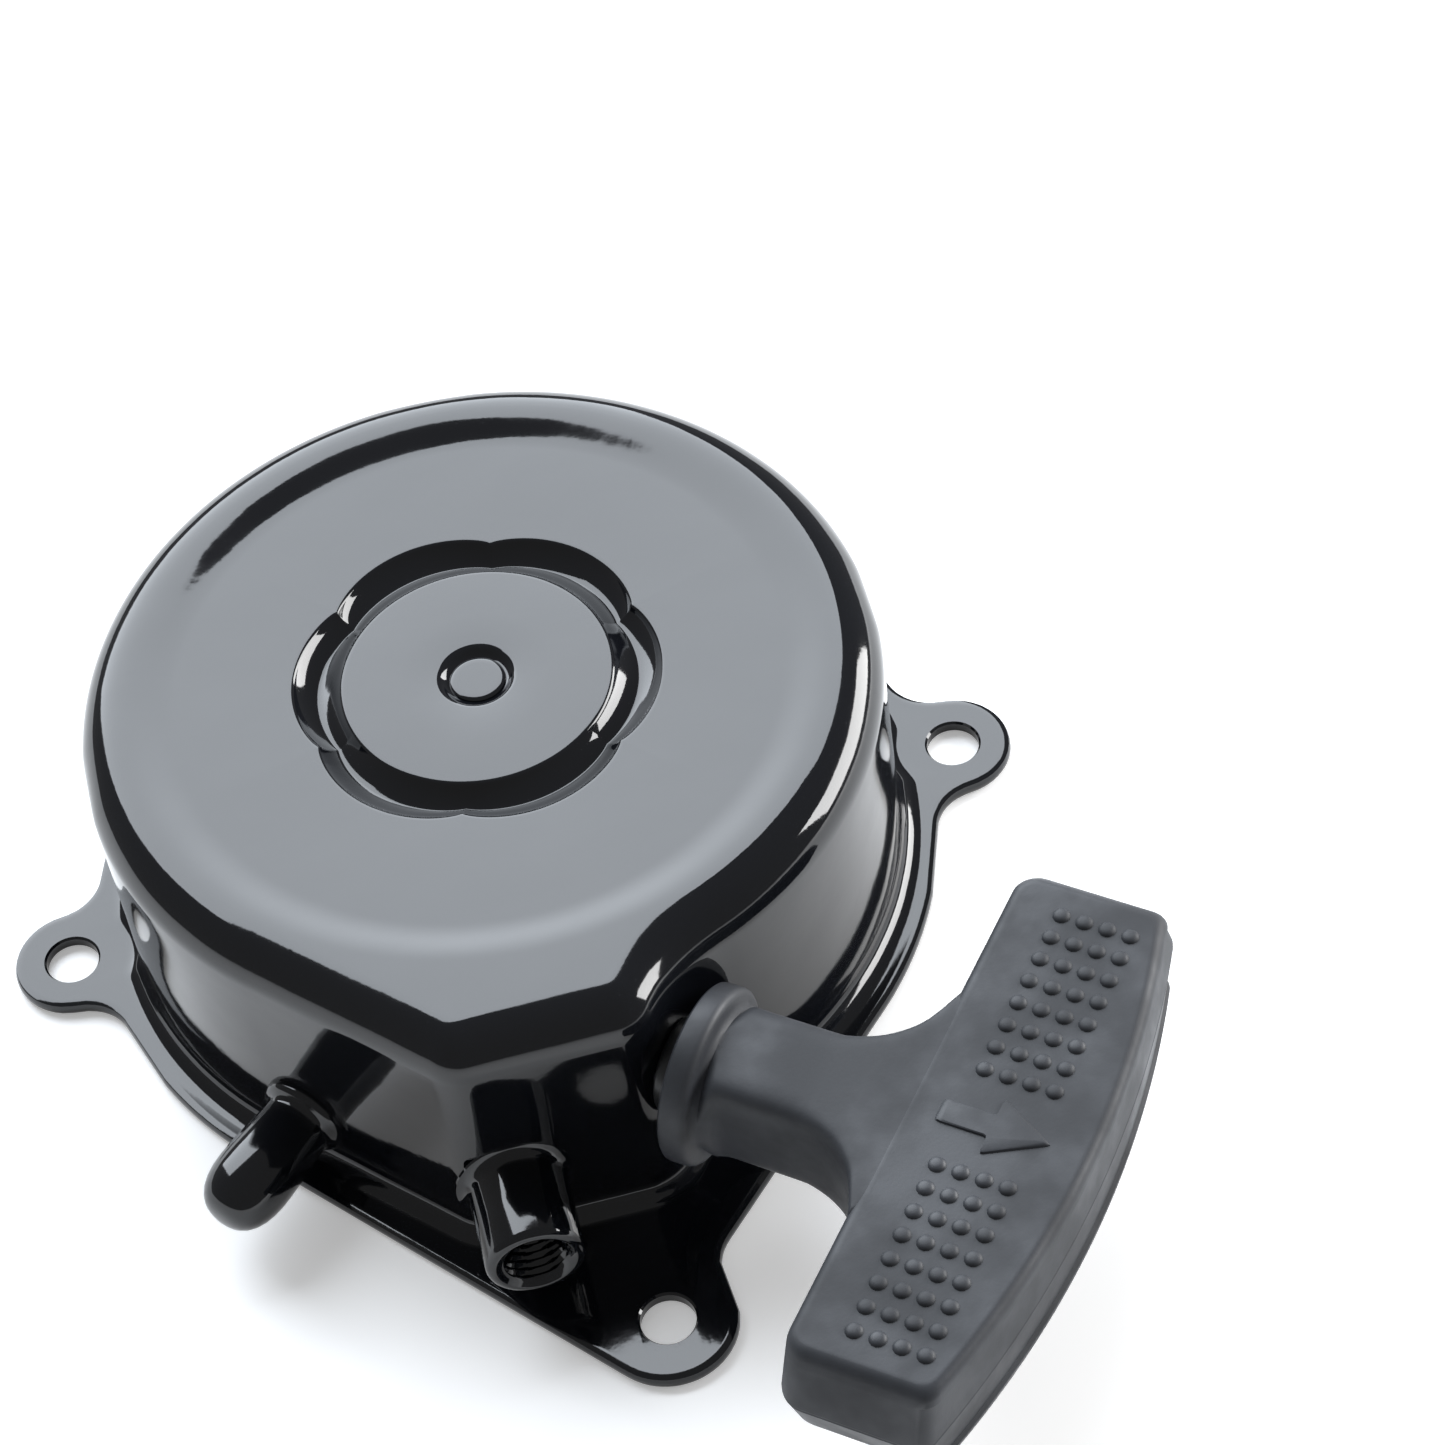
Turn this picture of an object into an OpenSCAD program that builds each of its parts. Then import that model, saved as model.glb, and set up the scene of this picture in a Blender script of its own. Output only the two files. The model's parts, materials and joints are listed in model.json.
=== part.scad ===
// Recoil starter for a small engine: pressed-steel cup, rope reel, pull grip and lockout lever.
// The engine side is open and faces -Z. The origin is on the shaft axis in the mounting face.

/* [Cup] */
// Outer radius of the round wall
wall_r = 70; // [62:0.5:84]
// Thickness of the pressed sheet
sheet_t = 2.5; // [1.5:0.1:3]
// Height from the mounting face to the top of the rim
cup_h = 54; // [52:0.5:68]
// Radius of the rounded top edge
edge_r = 8; // [5:0.5:10]
// Radius of the sunken round panel on top
panel_r = 57.5; // [45:0.5:58]
// Depth of the sunken panel
panel_drop = 1.5; // [0.5:0.1:1.8]
// Inner radius of the pressed centre groove
groove_in = 23.7; // [20:0.1:24]
// Outer radius of the pressed centre groove
groove_out = 29.5; // [28:0.1:32]
// Depth of the centre groove
groove_depth = 2.5; // [1:0.1:2.6]

/* [Rope nose] */
// How far the nose's front wall stands beyond the round wall
nose_reach = 9; // [6:0.5:14]
// How far the outlet wall lies inside the round wall's radius
outlet_set_in = 12; // [8:0.5:14]
// Direction that the rope is pulled in, about +Z from +X
pull_angle = -38; // [-44:1:-32]
// Direction that the nose's left wall faces
left_angle = -136; // [-142:1:-130]
// Corner radius of the nose
nose_r = 9; // [6:0.5:12]

/* [Mounting flange] */
// Width of the flange outside the wall
flange_w = 6.5; // [5:0.5:10]
// Bolt hole diameter
hole_d = 9.5; // [8.5:0.1:10.5]
// Distance of the side holes outside the wall
side_reach = 12; // [11:0.5:16]
// Distance of the rear hole outside the wall
rear_reach = 10.5; // [10:0.5:16]
// Distance of the corner hole beyond the nose's front wall
corner_reach = 25; // [20:0.5:30]
// Sideways place of the rear and corner holes
line_x = 5; // [0:0.5:8]
// Radius of the three round ears
ear_r = 10.5; // [9:0.5:13]
// Radius of the corner ear
corner_r = 12; // [10:0.5:14]
// Radius of the fillet beside each ear
ear_fillet = 9; // [6:0.5:14]
// Radius of the socket clearance pressed into the wall beside a hole
scallop_r = 13.8; // [12:0.1:15]

/* [Shaft] */
// Radius of the centre shaft
shaft_r = 7; // [5.5:0.1:8]
// Height of the shaft's free end
shaft_tip = 2.8; // [1:0.1:4]
// Radius of the riveted tenon
tenon_r = 4; // [3:0.1:5]
// Radial running clearance of the bush on the shaft
run_fit = 0.05; // [0.02:0.01:0.1]
// Outer radius of the thrust washer
washer_r = 13.7; // [12:0.1:15]
// Thickness of the thrust washer
washer_t = 1.6; // [1:0.1:2]

/* [Reel] */
// Gap between the wall and the reel
reel_gap = 8.5; // [6:0.5:12]
// Outer radius of the wound rope
coil_r = 45.5; // [42:0.5:47]
// Radius of the drum that the rope winds on
drum_r = 36.5; // [34:0.5:38]
// Height of the reel's front face
reel_front = 18; // [17:0.5:20]
// Thickness of the front flange
front_t = 6; // [4:0.5:7]
// Width of the rope groove
groove_w = 14; // [11:0.5:15]
// Thickness of the back flange
back_t = 3; // [2:0.5:4]
// Outer radius of the raised hub
hub_r = 30; // [28:0.5:32]
// Height of the raised hub's face
hub_front = 12; // [11.8:0.1:13]
// Wall of the spring well
well_wall = 2.5; // [2:0.1:4]
// Outer radius of the bush
bush_r = 10; // [9:0.5:11]
// Number of turns of the recoil spring
spring_turns = 7; // [4:1:9]

/* [Rope] */
// Rope diameter
rope_d = 5.2; // [4:0.1:6]
// Height of the rope's line
rope_z = 31; // [29:0.5:33]

/* [Pawl] */
// Distance of the pawl's pin from the shaft axis
pawl_pin_dist = 25.3; // [24:0.1:27]
// Direction of the pawl's pin
pawl_pin_angle = -81; // [-90:1:-75]
// Length of the pawl from pin to tip
pawl_len = 30; // [26:0.5:32]
// Direction of the pawl at rest
pawl_angle = 30; // [26:1:34]
// Thickness of the pawl strip
pawl_t = 2.4; // [1.6:0.1:3]

/* [Friction clip] */
// Wire diameter
clip_d = 1.8; // [1.4:0.1:2.2]
// Radius of the wire's loop round the hub
clip_loop = 17; // [16:0.1:18]
// Distance of the upright peg from the shaft axis
peg_dist = 50; // [44:0.5:51]
// Direction of the arm with the peg
clip_angle = 46; // [40:1:52]

/* [Lockout] */
// Width of the bracket strip
strip_w = 12; // [10:0.5:13]
// Thickness of the bracket strip
strip_t = 1.5; // [1:0.1:2]
// Front edge of the strip
strip_z = 6.5; // [5:0.5:8]
// Sideways place of the cable boss
boss_x = -14; // [-16:0.5:-10]
// Height of the cable boss
boss_z = 16; // [13:0.5:20]
// Outer radius of the cable boss
boss_r = 8.5; // [7:0.5:10]
// Radius of the hole in the cable boss
boss_bore = 5.6; // [4:0.1:6]
// Length of the cable boss outside the wall
boss_len = 17; // [12:0.5:22]
// Length of the capped stud outside the wall
cap_len = 27; // [20:0.5:32]
// Radius of the cap on the stud
cap_r = 7; // [6:0.5:8]
// Distance of the bracket bolt along the left wall
bolt_along = 6; // [4:0.5:9]
// Height of the bracket bolt
bolt_z = 13; // [12.5:0.5:15]

/* [Grip] */
// Distance from the shaft axis to the grip's inner side
bar_near = 100; // [92:0.5:110]
// Width of the grip bar at its ends
bar_w = 27; // [24:0.5:30]
// How far the outer side bows out in the middle
bar_bow = 7; // [4:0.5:9]
// Length of the grip bar
bar_len = 106; // [90:1:124]
// Height of the grip bar
bar_h = 23; // [20:0.5:26]
// Width of the stem
stem_w = 20; // [17:0.5:23]
// Height of the stem
stem_h = 21; // [18:0.5:23]
// Radius of the round collar
collar_r = 15.5; // [13:0.5:17]
// Thickness of the collar
collar_t = 5; // [3:0.5:8]
// Height of the grip's middle
grip_z = 32; // [30:0.5:34]

/* [Hidden] */
$fn = 72;
eps = 0.01;
gap = 0.3;

// Cup
inner_r = wall_r - sheet_t;
roof_z = cup_h - panel_drop - sheet_t;
front_wall = wall_r + nose_reach;
outlet_wall = wall_r - outlet_set_in;
band_z = cup_h - 14;
flange_r = wall_r + flange_w;
scallop_post = scallop_r + sheet_t;
side_hole = [wall_r + side_reach, 0];
rear_hole = [line_x, wall_r + rear_reach];
corner_hole = [line_x, -front_wall - corner_reach];
lobe_r = 3.4;
lobes = 6;

// Reel
reel_r = wall_r - sheet_t - reel_gap;
groove_z = reel_front + front_t;
back_z = groove_z + groove_w;
well_r = drum_r - well_wall;
well_z = groove_z + 11;
keeper_t = 0.8;
keeper_z = roof_z - groove_depth - keeper_t - 3 * gap;
reel_top = keeper_z;
back_r = reel_r - 3;
arbor_r = 12.5;
ridge_r = reel_r - 3.4;

// Rope line, at a tangent to the wound rope
rope_r = rope_d / 2;
rope_off = coil_r + rope_r + 0.4;
guide_t = 3.8;
grip_near = outlet_wall + guide_t + gap;

// Pawl and clip
pawl_pin_xy = pawl_pin_dist * unit(pawl_pin_angle);
pawl_tip_xy = pawl_pin_xy + pawl_len * unit(pawl_angle);
pawl_low = 8.6;
pawl_high = 15.6;
pocket_z = 16;
clip_r = clip_d / 2;
clip_z = 14.6;
clip_over_z = hub_front - clip_r - 0.5;
clip_under_z = reel_front - clip_r - 1.2;
finger_xy = pawl_tip_xy + (pawl_t / 2 + clip_r + 0.4) * unit(pawl_angle + 90) - 1.6 * unit(pawl_angle);
finger_dist = norm(finger_xy);
finger_angle = atan2(finger_xy[1], finger_xy[0]);

// Lockout parts, set out from the nose's left wall
bolt_r = 3;
left_n = unit(left_angle);
left_s = unit(left_angle + 90);
bolt_xy = (inner_r - 0.2) * left_n + bolt_along * left_s;
pin_in = 5.3;
pin_xy = (inner_r - pin_in) * left_n + 20 * left_s;
pin_r = 1.5;
barrel_r = 2.7;
hook_x = 2;
lever_y = pin_xy[1] - 1.8;

function unit(a) = [cos(a), sin(a)];
function arc(c, r, a1, a2, n = 8) = [for (i = [0 : n]) c + r * unit(a1 + (a2 - a1) * i / n)];
// Where the lines n1.p = d1 and n2.p = d2 cross; a1 and a2 are the directions of n1 and n2
function cross_at(a1, d1, a2, d2) =
    let (s = sin(a2 - a1))
    [(d1 * sin(a2) - d2 * sin(a1)) / s, (d2 * cos(a1) - d1 * cos(a2)) / s];

// ---------------------------------------------------------------- shared shapes

module tube(outer, inner, h) {
    difference() {
        cylinder(r = outer, h = h);
        translate([0, 0, -1]) cylinder(r = inner, h = h + 2);
    }
}

module sector(r1, r2, a1, a2, h) {
    rotate([0, 0, a1]) rotate_extrude(angle = a2 - a1) translate([r1, 0]) square([r2 - r1, h]);
}

// Direction of a path at point i, from its neighbours
function heading(path, i) =
    let (v = path[min(i + 1, len(path) - 1)] - path[max(i - 1, 0)])
    v / norm(v);

// A round wire through the path's points
module wire(path, r, sides = 8) {
    n = len(path);
    function ring(i) =
        let (t = heading(path, i), side = cross(t, [0.37, 0.21, 0.9]), u = side / norm(side), v = cross(t, u))
        [for (k = [0 : sides - 1]) path[i] + r * (cos(k * 360 / sides) * u + sin(k * 360 / sides) * v)];
    polyhedron([for (i = [0 : n - 1]) each ring(i)], concat(
        [[for (k = [0 : sides - 1]) k]],
        [for (i = [0 : n - 2], k = [0 : sides - 1])
            let (a = i * sides + k, b = i * sides + (k + 1) % sides) [a, a + sides, b + sides, b]],
        [[for (k = [sides - 1 : -1 : 0]) (n - 1) * sides + k]]));
}

// Plan of a thin strip on edge that follows the path's points
module strip_plan(path, t) {
    function side(i, off) = let (h = heading(path, i)) path[i] + off * [-h[1], h[0]];
    n = len(path);
    polygon(concat([for (i = [0 : n - 1]) side(i, t / 2)], [for (i = [n - 1 : -1 : 0]) side(i, -t / 2)]));
}

// Moves to the rope's line: local +X is the pull direction, measured from the shaft axis
module on_rope_line(z) {
    translate([0, 0, z]) rotate([0, 0, pull_angle]) translate([0, -rope_off, 0]) children();
}

// Points children's +Z out through the nose's left wall at the bolt
module at_bolt() {
    translate([bolt_xy[0], bolt_xy[1], bolt_z]) rotate([0, 90, left_angle]) children();
}

// ---------------------------------------------------------------- cup

// Outline of the cup's nose, drawn inward by the given amount. Its left wall runs just inside the
// round wall's tangent, so that the two surfaces cross cleanly.
module nose_outline(inward) {
    r = max(nose_r - inward, 1);
    side = wall_r - 0.6;
    c1 = cross_at(left_angle, side - inward - r, -90, front_wall - inward - r);
    c2 = cross_at(-90, front_wall - inward - r, pull_angle, outlet_wall - inward - r);
    polygon(concat([[0, 0], (side - inward) * unit(left_angle)], arc(c1, r, left_angle, -90),
        arc(c2, r, -90, pull_angle), [(outlet_wall - inward) * unit(pull_angle)]));
}

module round_profile(r, h, edge) {
    square([r - edge, h]);
    square([r, h - edge]);
    translate([r - edge, h - edge]) circle(r = edge);
}

// The cup's solid form, drawn inward by the given amount
module cup_form(inward, top) {
    edge = edge_r - inward;
    rotate_extrude() intersection() {
        round_profile(wall_r - inward, top, edge);
        square([wall_r, top]);
    }
    linear_extrude(top - edge) nose_outline(inward);
    linear_extrude(top - edge / 2) nose_outline(inward + edge * 0.14);
    linear_extrude(top) nose_outline(inward + edge / 2);
}

module scallops(r) {
    for (p = [side_hole, -side_hole, rear_hole]) translate([p[0], p[1], -1]) cylinder(r = r, h = cup_h + 2);
}

// Flange edge past a round ear: fillet, ear, fillet. The ear's hole is at distance d in direction at.
function ear_edge(at, d) =
    let (out = flange_r + ear_fillet, a = acos((out * out + d * d - pow(ear_r + ear_fillet, 2)) / (2 * out * d)),
        v = d * unit(0) - out * unit(-a), b = atan2(v[1], v[0]))
    concat(arc(out * unit(at - a), ear_fillet, at + 180 - a, at + b), arc(d * unit(at), ear_r, at + b - 180,
        at + 180 - b, 20), arc(out * unit(at + a), ear_fillet, at - b, at + a - 180));

// Flange edge past the corner ear: a straight edge, the ear, a fillet and a straight edge
function corner_edge() =
    let (edge = pull_angle - 6, out = flange_r + ear_fillet, rise = out - corner_hole * unit(edge),
        run = sqrt(pow(corner_r + ear_fillet, 2) - rise * rise),
        f = out * unit(edge) + (corner_hole * unit(edge + 90) + run) * unit(edge + 90),
        side = atan2(corner_hole[1], corner_hole[0]) - acos((flange_r - corner_r) / norm(corner_hole)),
        v = f - corner_hole, b = atan2(v[1], v[0]))
    concat(arc(corner_hole, corner_r, side, b, 16), arc(f, ear_fillet, b + 180, edge + 180));

module flange_outline() {
    rear = atan2(rear_hole[1], rear_hole[0]);
    side = atan2(corner_hole[1], corner_hole[0]) - acos((flange_r - corner_r) / norm(corner_hole));
    polygon(concat(ear_edge(0, side_hole[0]), arc([0, 0], flange_r, 24, rear - 24, 10), ear_edge(rear, norm(rear_hole)),
        arc([0, 0], flange_r, rear + 24, 156, 10), ear_edge(180, side_hole[0]),
        arc([0, 0], flange_r, 204, side + 360, 6), corner_edge(), arc([0, 0], flange_r, pull_angle - 6, -24, 4)));
}

// The walls and roof, before any hole
module cup_shell(z1, z2) {
    intersection() {
        difference() {
            cup_form(0, cup_h);
            scallops(scallop_r);
            cup_hollow();
        }
        translate([0, 0, z1]) cylinder(r = wall_r * 2, h = z2 - z1);
    }
}

module cup_hollow() {
    difference() {
        translate([0, 0, -eps]) cup_form(sheet_t, cup_h - sheet_t);
        scallops(scallop_post);
        translate([0, 0, roof_z]) cylinder(r = panel_r + sheet_t, h = cup_h);
        translate([0, 0, roof_z - groove_depth])
            tube(groove_out + lobe_r + sheet_t, groove_in - sheet_t, cup_h);
    }
}

// The cup is one pressing. It is drawn in three bands, roof, wall and flange, that meet face to face.
module housing_roof() {
    color([0.05, 0.05, 0.06]) difference() {
        cup_shell(band_z, cup_h + 1);
        translate([0, 0, cup_h - panel_drop]) cylinder(r = panel_r, h = cup_h);
        translate([0, 0, cup_h - panel_drop - groove_depth]) {
            tube(groove_out, groove_in, cup_h);
            for (i = [0 : lobes - 1]) rotate([0, 0, 360 / lobes * i + 20])
                translate([groove_out - 1, 0, 0]) cylinder(r = lobe_r, h = cup_h);
        }
        translate([0, 0, cup_h - panel_drop - 0.8]) cylinder(r = tenon_r + 2, h = cup_h);
        cylinder(r = tenon_r, h = cup_h * 2);
        outlet_cut();
    }
}

module housing_wall() {
    color([0.05, 0.05, 0.06]) difference() {
        cup_shell(sheet_t, band_z);
        outlet_cut();
        translate([boss_x, 0, boss_z]) rotate([90, 0, 0]) cylinder(r = boss_bore, h = front_wall + 1);
        at_bolt() translate([0, 0, -1]) cylinder(r = bolt_r + 0.2, h = 3 * sheet_t);
    }
}

module housing_flange() {
    color([0.05, 0.05, 0.06]) difference() {
        linear_extrude(sheet_t) flange_outline();
        difference() {
            translate([0, 0, -1]) linear_extrude(cup_h / 2) {
                circle(r = inner_r);
                nose_outline(sheet_t);
            }
            scallops(scallop_post);
        }
        for (p = [side_hole, -side_hole, rear_hole, corner_hole])
            translate([p[0], p[1], -1]) cylinder(d = hole_d, h = sheet_t + 2);
    }
}

module outlet_cut() {
    on_rope_line(rope_z) translate([outlet_wall - nose_r, 0, 0])
        rotate([0, 90, 0]) cylinder(r = rope_r + 3, h = nose_r * 2);
}

module cable_boss() {
    color([0.05, 0.05, 0.06]) translate([boss_x, -front_wall, boss_z]) rotate([90, 0, 0])
        difference() {
            union() {
                cylinder(r = boss_r, h = boss_len);
                cylinder(r1 = boss_r + 1.2, r2 = boss_r, h = 2);
            }
            translate([0, 0, -1]) cylinder(r = boss_bore, h = boss_len + 2);
            translate([0, 0, boss_len - 1]) cylinder(r1 = boss_bore, r2 = boss_bore + 1, h = 1 + eps);
        }
}

// ---------------------------------------------------------------- shaft and its fittings

clip_slot_z = 7.6;
clip_slot_w = 1.2;
washer_z = clip_slot_z + clip_slot_w + 0.4;

module shaft() {
    color([0.72, 0.7, 0.68]) difference() {
        union() {
            translate([0, 0, shaft_tip + 0.8]) cylinder(r = shaft_r, h = roof_z - shaft_tip - 0.8);
            translate([0, 0, shaft_tip]) cylinder(r1 = shaft_r - 0.8, r2 = shaft_r, h = 0.8);
            cylinder_from(roof_z - 1, cup_h - panel_drop, tenon_r);
            cylinder_from(cup_h - panel_drop - 0.8, cup_h - panel_drop + 0.2, tenon_r + 0.8);
        }
        translate([0, 0, clip_slot_z]) tube(shaft_r + 1, shaft_r - 0.8, clip_slot_w);
        translate([0, 0, shaft_tip - eps]) cylinder(r1 = 2, r2 = 0, h = 1.2);
    }
}

module cylinder_from(z1, z2, r) {
    translate([0, 0, z1]) cylinder(r = r, h = z2 - z1);
}

module circlip() {
    t = clip_slot_w - 0.2;
    color([0.16, 0.16, 0.17]) translate([0, 0, clip_slot_z + 0.1]) difference() {
        union() {
            tube(shaft_r + 1.6, shaft_r - 0.75, t);
            for (s = [-1, 1]) rotate([0, 0, 22 * s]) translate([shaft_r + 2.2, 0, 0])
                cylinder(r = 2.1, h = t);
        }
        rotate([0, 0, -11]) translate([0, 0, -1]) sector(shaft_r - 2, shaft_r + 6, 0, 22, t + 2);
        for (s = [-1, 1]) rotate([0, 0, 22 * s]) translate([shaft_r + 2.3, 0, -1])
            cylinder(r = 0.8, h = t + 2);
        translate([0, 0, -1]) cylinder(r = shaft_r - 0.75, h = t + 2);
    }
}

module thrust_washer() {
    color([0.74, 0.72, 0.69]) translate([0, 0, washer_z]) tube(washer_r, shaft_r + 0.3, washer_t);
}

// A sleeve on the shaft under the roof, with a slot for the spring's inner end
module spring_arbor() {
    z = well_z + gap;
    color([0.45, 0.45, 0.47]) translate([0, 0, z]) difference() {
        tube(arbor_r, shaft_r, roof_z - z);
        translate([arbor_r - 3, -0.6, -1]) cube([4, 1.2, keeper_z - z]);
    }
}

// The coiled strip, from the arbor to the well's wall
module recoil_spring() {
    r1 = arbor_r + 0.9;
    r2 = well_r - 1.2;
    steps = 30;
    n = spring_turns * steps;
    t = 0.6;
    function at(i, off) = (r1 + (r2 - r1) * i / n + off) * unit(i * 360 / steps);
    color([0.3, 0.3, 0.33]) translate([0, 0, well_z + 1]) linear_extrude(keeper_z - well_z - 1.5)
        polygon(concat([for (i = [0 : n]) at(i, t / 2)], [for (i = [n : -1 : 0]) at(i, -t / 2)]));
}

// ---------------------------------------------------------------- rope outlet

module rope_guide() {
    hole = rope_r + 3;
    color([0.08, 0.08, 0.09]) on_rope_line(rope_z) translate([outlet_wall, 0, 0]) rotate([0, 90, 0])
        difference() {
            union() {
                translate([0, 0, -sheet_t - 1]) cylinder(r = hole - 0.1, h = sheet_t + 1 + guide_t);
                translate([0, 0, 0.1]) cylinder(r = hole + 2.6, h = guide_t - 0.1);
            }
            translate([0, 0, -20]) cylinder(r = rope_r + 1, h = 40);
        }
}

module rope_lead() {
    color([0.55, 0.55, 0.5]) on_rope_line(rope_z) rotate([0, 90, 0])
        cylinder(r = rope_r, h = grip_near - gap, $fn = 24);
}

// ---------------------------------------------------------------- lockout bracket and leaf

bracket_start = -160;
bracket_end = 23;
leaf_t = 0.5;
leaf_w = 8;
clamp_t = 1.2;

// A strip on edge along the inside of the wall: straight from the given length to the tangent
// point, then round the wall to the given direction
function wall_path(length, to, inward) =
    let (r = inner_r - inward)
    concat([r * left_n + length * left_s], arc([0, 0], r, left_angle, to));

module bracket() {
    color([0.75, 0.78, 0.8]) difference() {
        union() {
            translate([0, 0, strip_z]) linear_extrude(strip_w)
                strip_plan(wall_path(bracket_end, bracket_start, 0.9 + strip_t / 2), strip_t);
            for (z = [strip_z, strip_z + strip_w - 1.5]) translate([pin_xy[0], pin_xy[1], z])
                rotate([0, 0, left_angle]) translate([-barrel_r, -barrel_r, 0])
                    cube([barrel_r + pin_in - 0.9 - strip_t / 2, 2 * barrel_r, 1.5]);
        }
        at_bolt() translate([0, 0, -10]) cylinder(r = bolt_r, h = 20);
        translate([pin_xy[0], pin_xy[1], 0]) cylinder(r = pin_r, h = 40);
    }
}

// A second plate that clamps the leaf spring's root on the bracket
module clamp_plate() {
    color([0.78, 0.8, 0.8]) difference() {
        translate([0, 0, strip_z + 1.5]) linear_extrude(strip_w - 3)
            strip_plan(wall_path(11.5, bracket_start + 2, 0.94 + strip_t + leaf_t + clamp_t / 2), clamp_t);
        at_bolt() translate([0, 0, -10]) cylinder(r = bolt_r, h = 20);
    }
}

// The leaf's whole run: clamped stretch, wall stretch, free stretch in to the V, then back out
function leaf_path() =
    let (inward = 0.9 + strip_t + leaf_t / 2, p0 = (inner_r - inward) * unit(bracket_start), bend = [-57, -2])
    concat(wall_path(11, bracket_start, inward),
        [for (i = [1 : 8]) let (s = i / 8)
            pow(1 - s, 2) * p0 + 2 * s * (1 - s) * bend + s * s * leaf_vee],
        [leaf_end]);

leaf_vee = [-29, 19.5];
leaf_end = [-25.2, 55];

module leaf_spring() {
    color([0.8, 0.82, 0.84]) difference() {
        translate([0, 0, strip_z + 2]) linear_extrude(leaf_w) strip_plan(leaf_path(), leaf_t);
        at_bolt() translate([0, 0, -10]) cylinder(r = bolt_r, h = 20);
    }
}

stack_t = 0.8 + strip_t + leaf_t + clamp_t;

module bolt_washer() {
    color([0.8, 0.8, 0.78]) at_bolt() translate([0, 0, -stack_t - 1]) tube(5.4, bolt_r, 1);
}

module bracket_bolt() {
    color([0.8, 0.8, 0.78]) at_bolt() {
        translate([0, 0, -stack_t - 4.8]) rotate([0, 0, 30]) cylinder(r = 5.4, h = 3.8, $fn = 6);
        translate([0, 0, -stack_t - 4.8]) cylinder(r = bolt_r, h = stack_t + 4.8 + sheet_t + 8);
    }
}

// A long blind nut with a rounded end, screwed on the bolt outside the wall
module stud_cap() {
    color([0.05, 0.05, 0.06]) at_bolt() translate([0, 0, sheet_t + 0.2]) difference() {
        union() {
            cylinder(r = cap_r + 1, h = 1.6);
            cylinder(r = cap_r, h = cap_len - cap_r);
            translate([0, 0, cap_len - cap_r]) sphere(r = cap_r);
        }
        translate([0, 0, -1]) cylinder(r = bolt_r, h = 9);
        translate([0, 0, -cap_len]) cylinder(r = cap_r * 2, h = cap_len);
    }
}

// ---------------------------------------------------------------- lockout lever

module lever_pin() {
    color([0.6, 0.62, 0.64]) translate([pin_xy[0], pin_xy[1], strip_z - 1]) {
        cylinder(r = pin_r, h = strip_w + 2);
        cylinder(r = pin_r + 0.9, h = 0.8);
    }
}

module lever_spring() {
    color([0.5, 0.52, 0.55]) translate([pin_xy[0], pin_xy[1], strip_z + 8.3]) tube(2.6, 1.9, 2);
}

module lockout_lever() {
    color([0.78, 0.81, 0.83]) difference() {
        union() {
            translate([pin_xy[0], pin_xy[1], strip_z + 1.7]) cylinder(r = barrel_r, h = 6.2);
            translate([pin_xy[0], lever_y - strip_t / 2, strip_z + 1.7])
                cube([hook_x - 7 - pin_xy[0], strip_t, 6.2]);
            translate([pin_xy[0] + 6, lever_y - strip_t * 1.5, strip_z + 2.5])
                cube([boss_x - pin_xy[0] - 4, strip_t, 5]);
            translate([boss_x, lever_y - 11, strip_z + 2.5]) cube([strip_t, 11, 5]);
        }
        translate([pin_xy[0], pin_xy[1], 0]) cylinder(r = pin_r + run_fit, h = 40);
    }
}

// The rolled hook that takes the cable's end, riveted on the lever's tail
module cable_hook() {
    color([0.85, 0.87, 0.88]) translate([hook_x, lever_y, strip_z + 1.7]) {
        sector(5, 6.5, 180, 340, 6.2);
        sector(2.6, 3.8, 190, 330, 6.2);
        translate([-9.2, -strip_t / 2 - 1.3, 0]) cube([4.2, 1.2, 6.2]);
        translate([-6.5, -1.9, 0]) cube([3.2, 1.9, 1.2]);
    }
}

// ---------------------------------------------------------------- reel

// Pocket into the hub's face, between two directions
module hub_pocket(a1, a2, floor_z) {
    translate([0, 0, hub_front - 1]) sector(20.5, hub_r - 3, a1, a2, floor_z - hub_front + 1);
}

knot_angle = 78;

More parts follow.
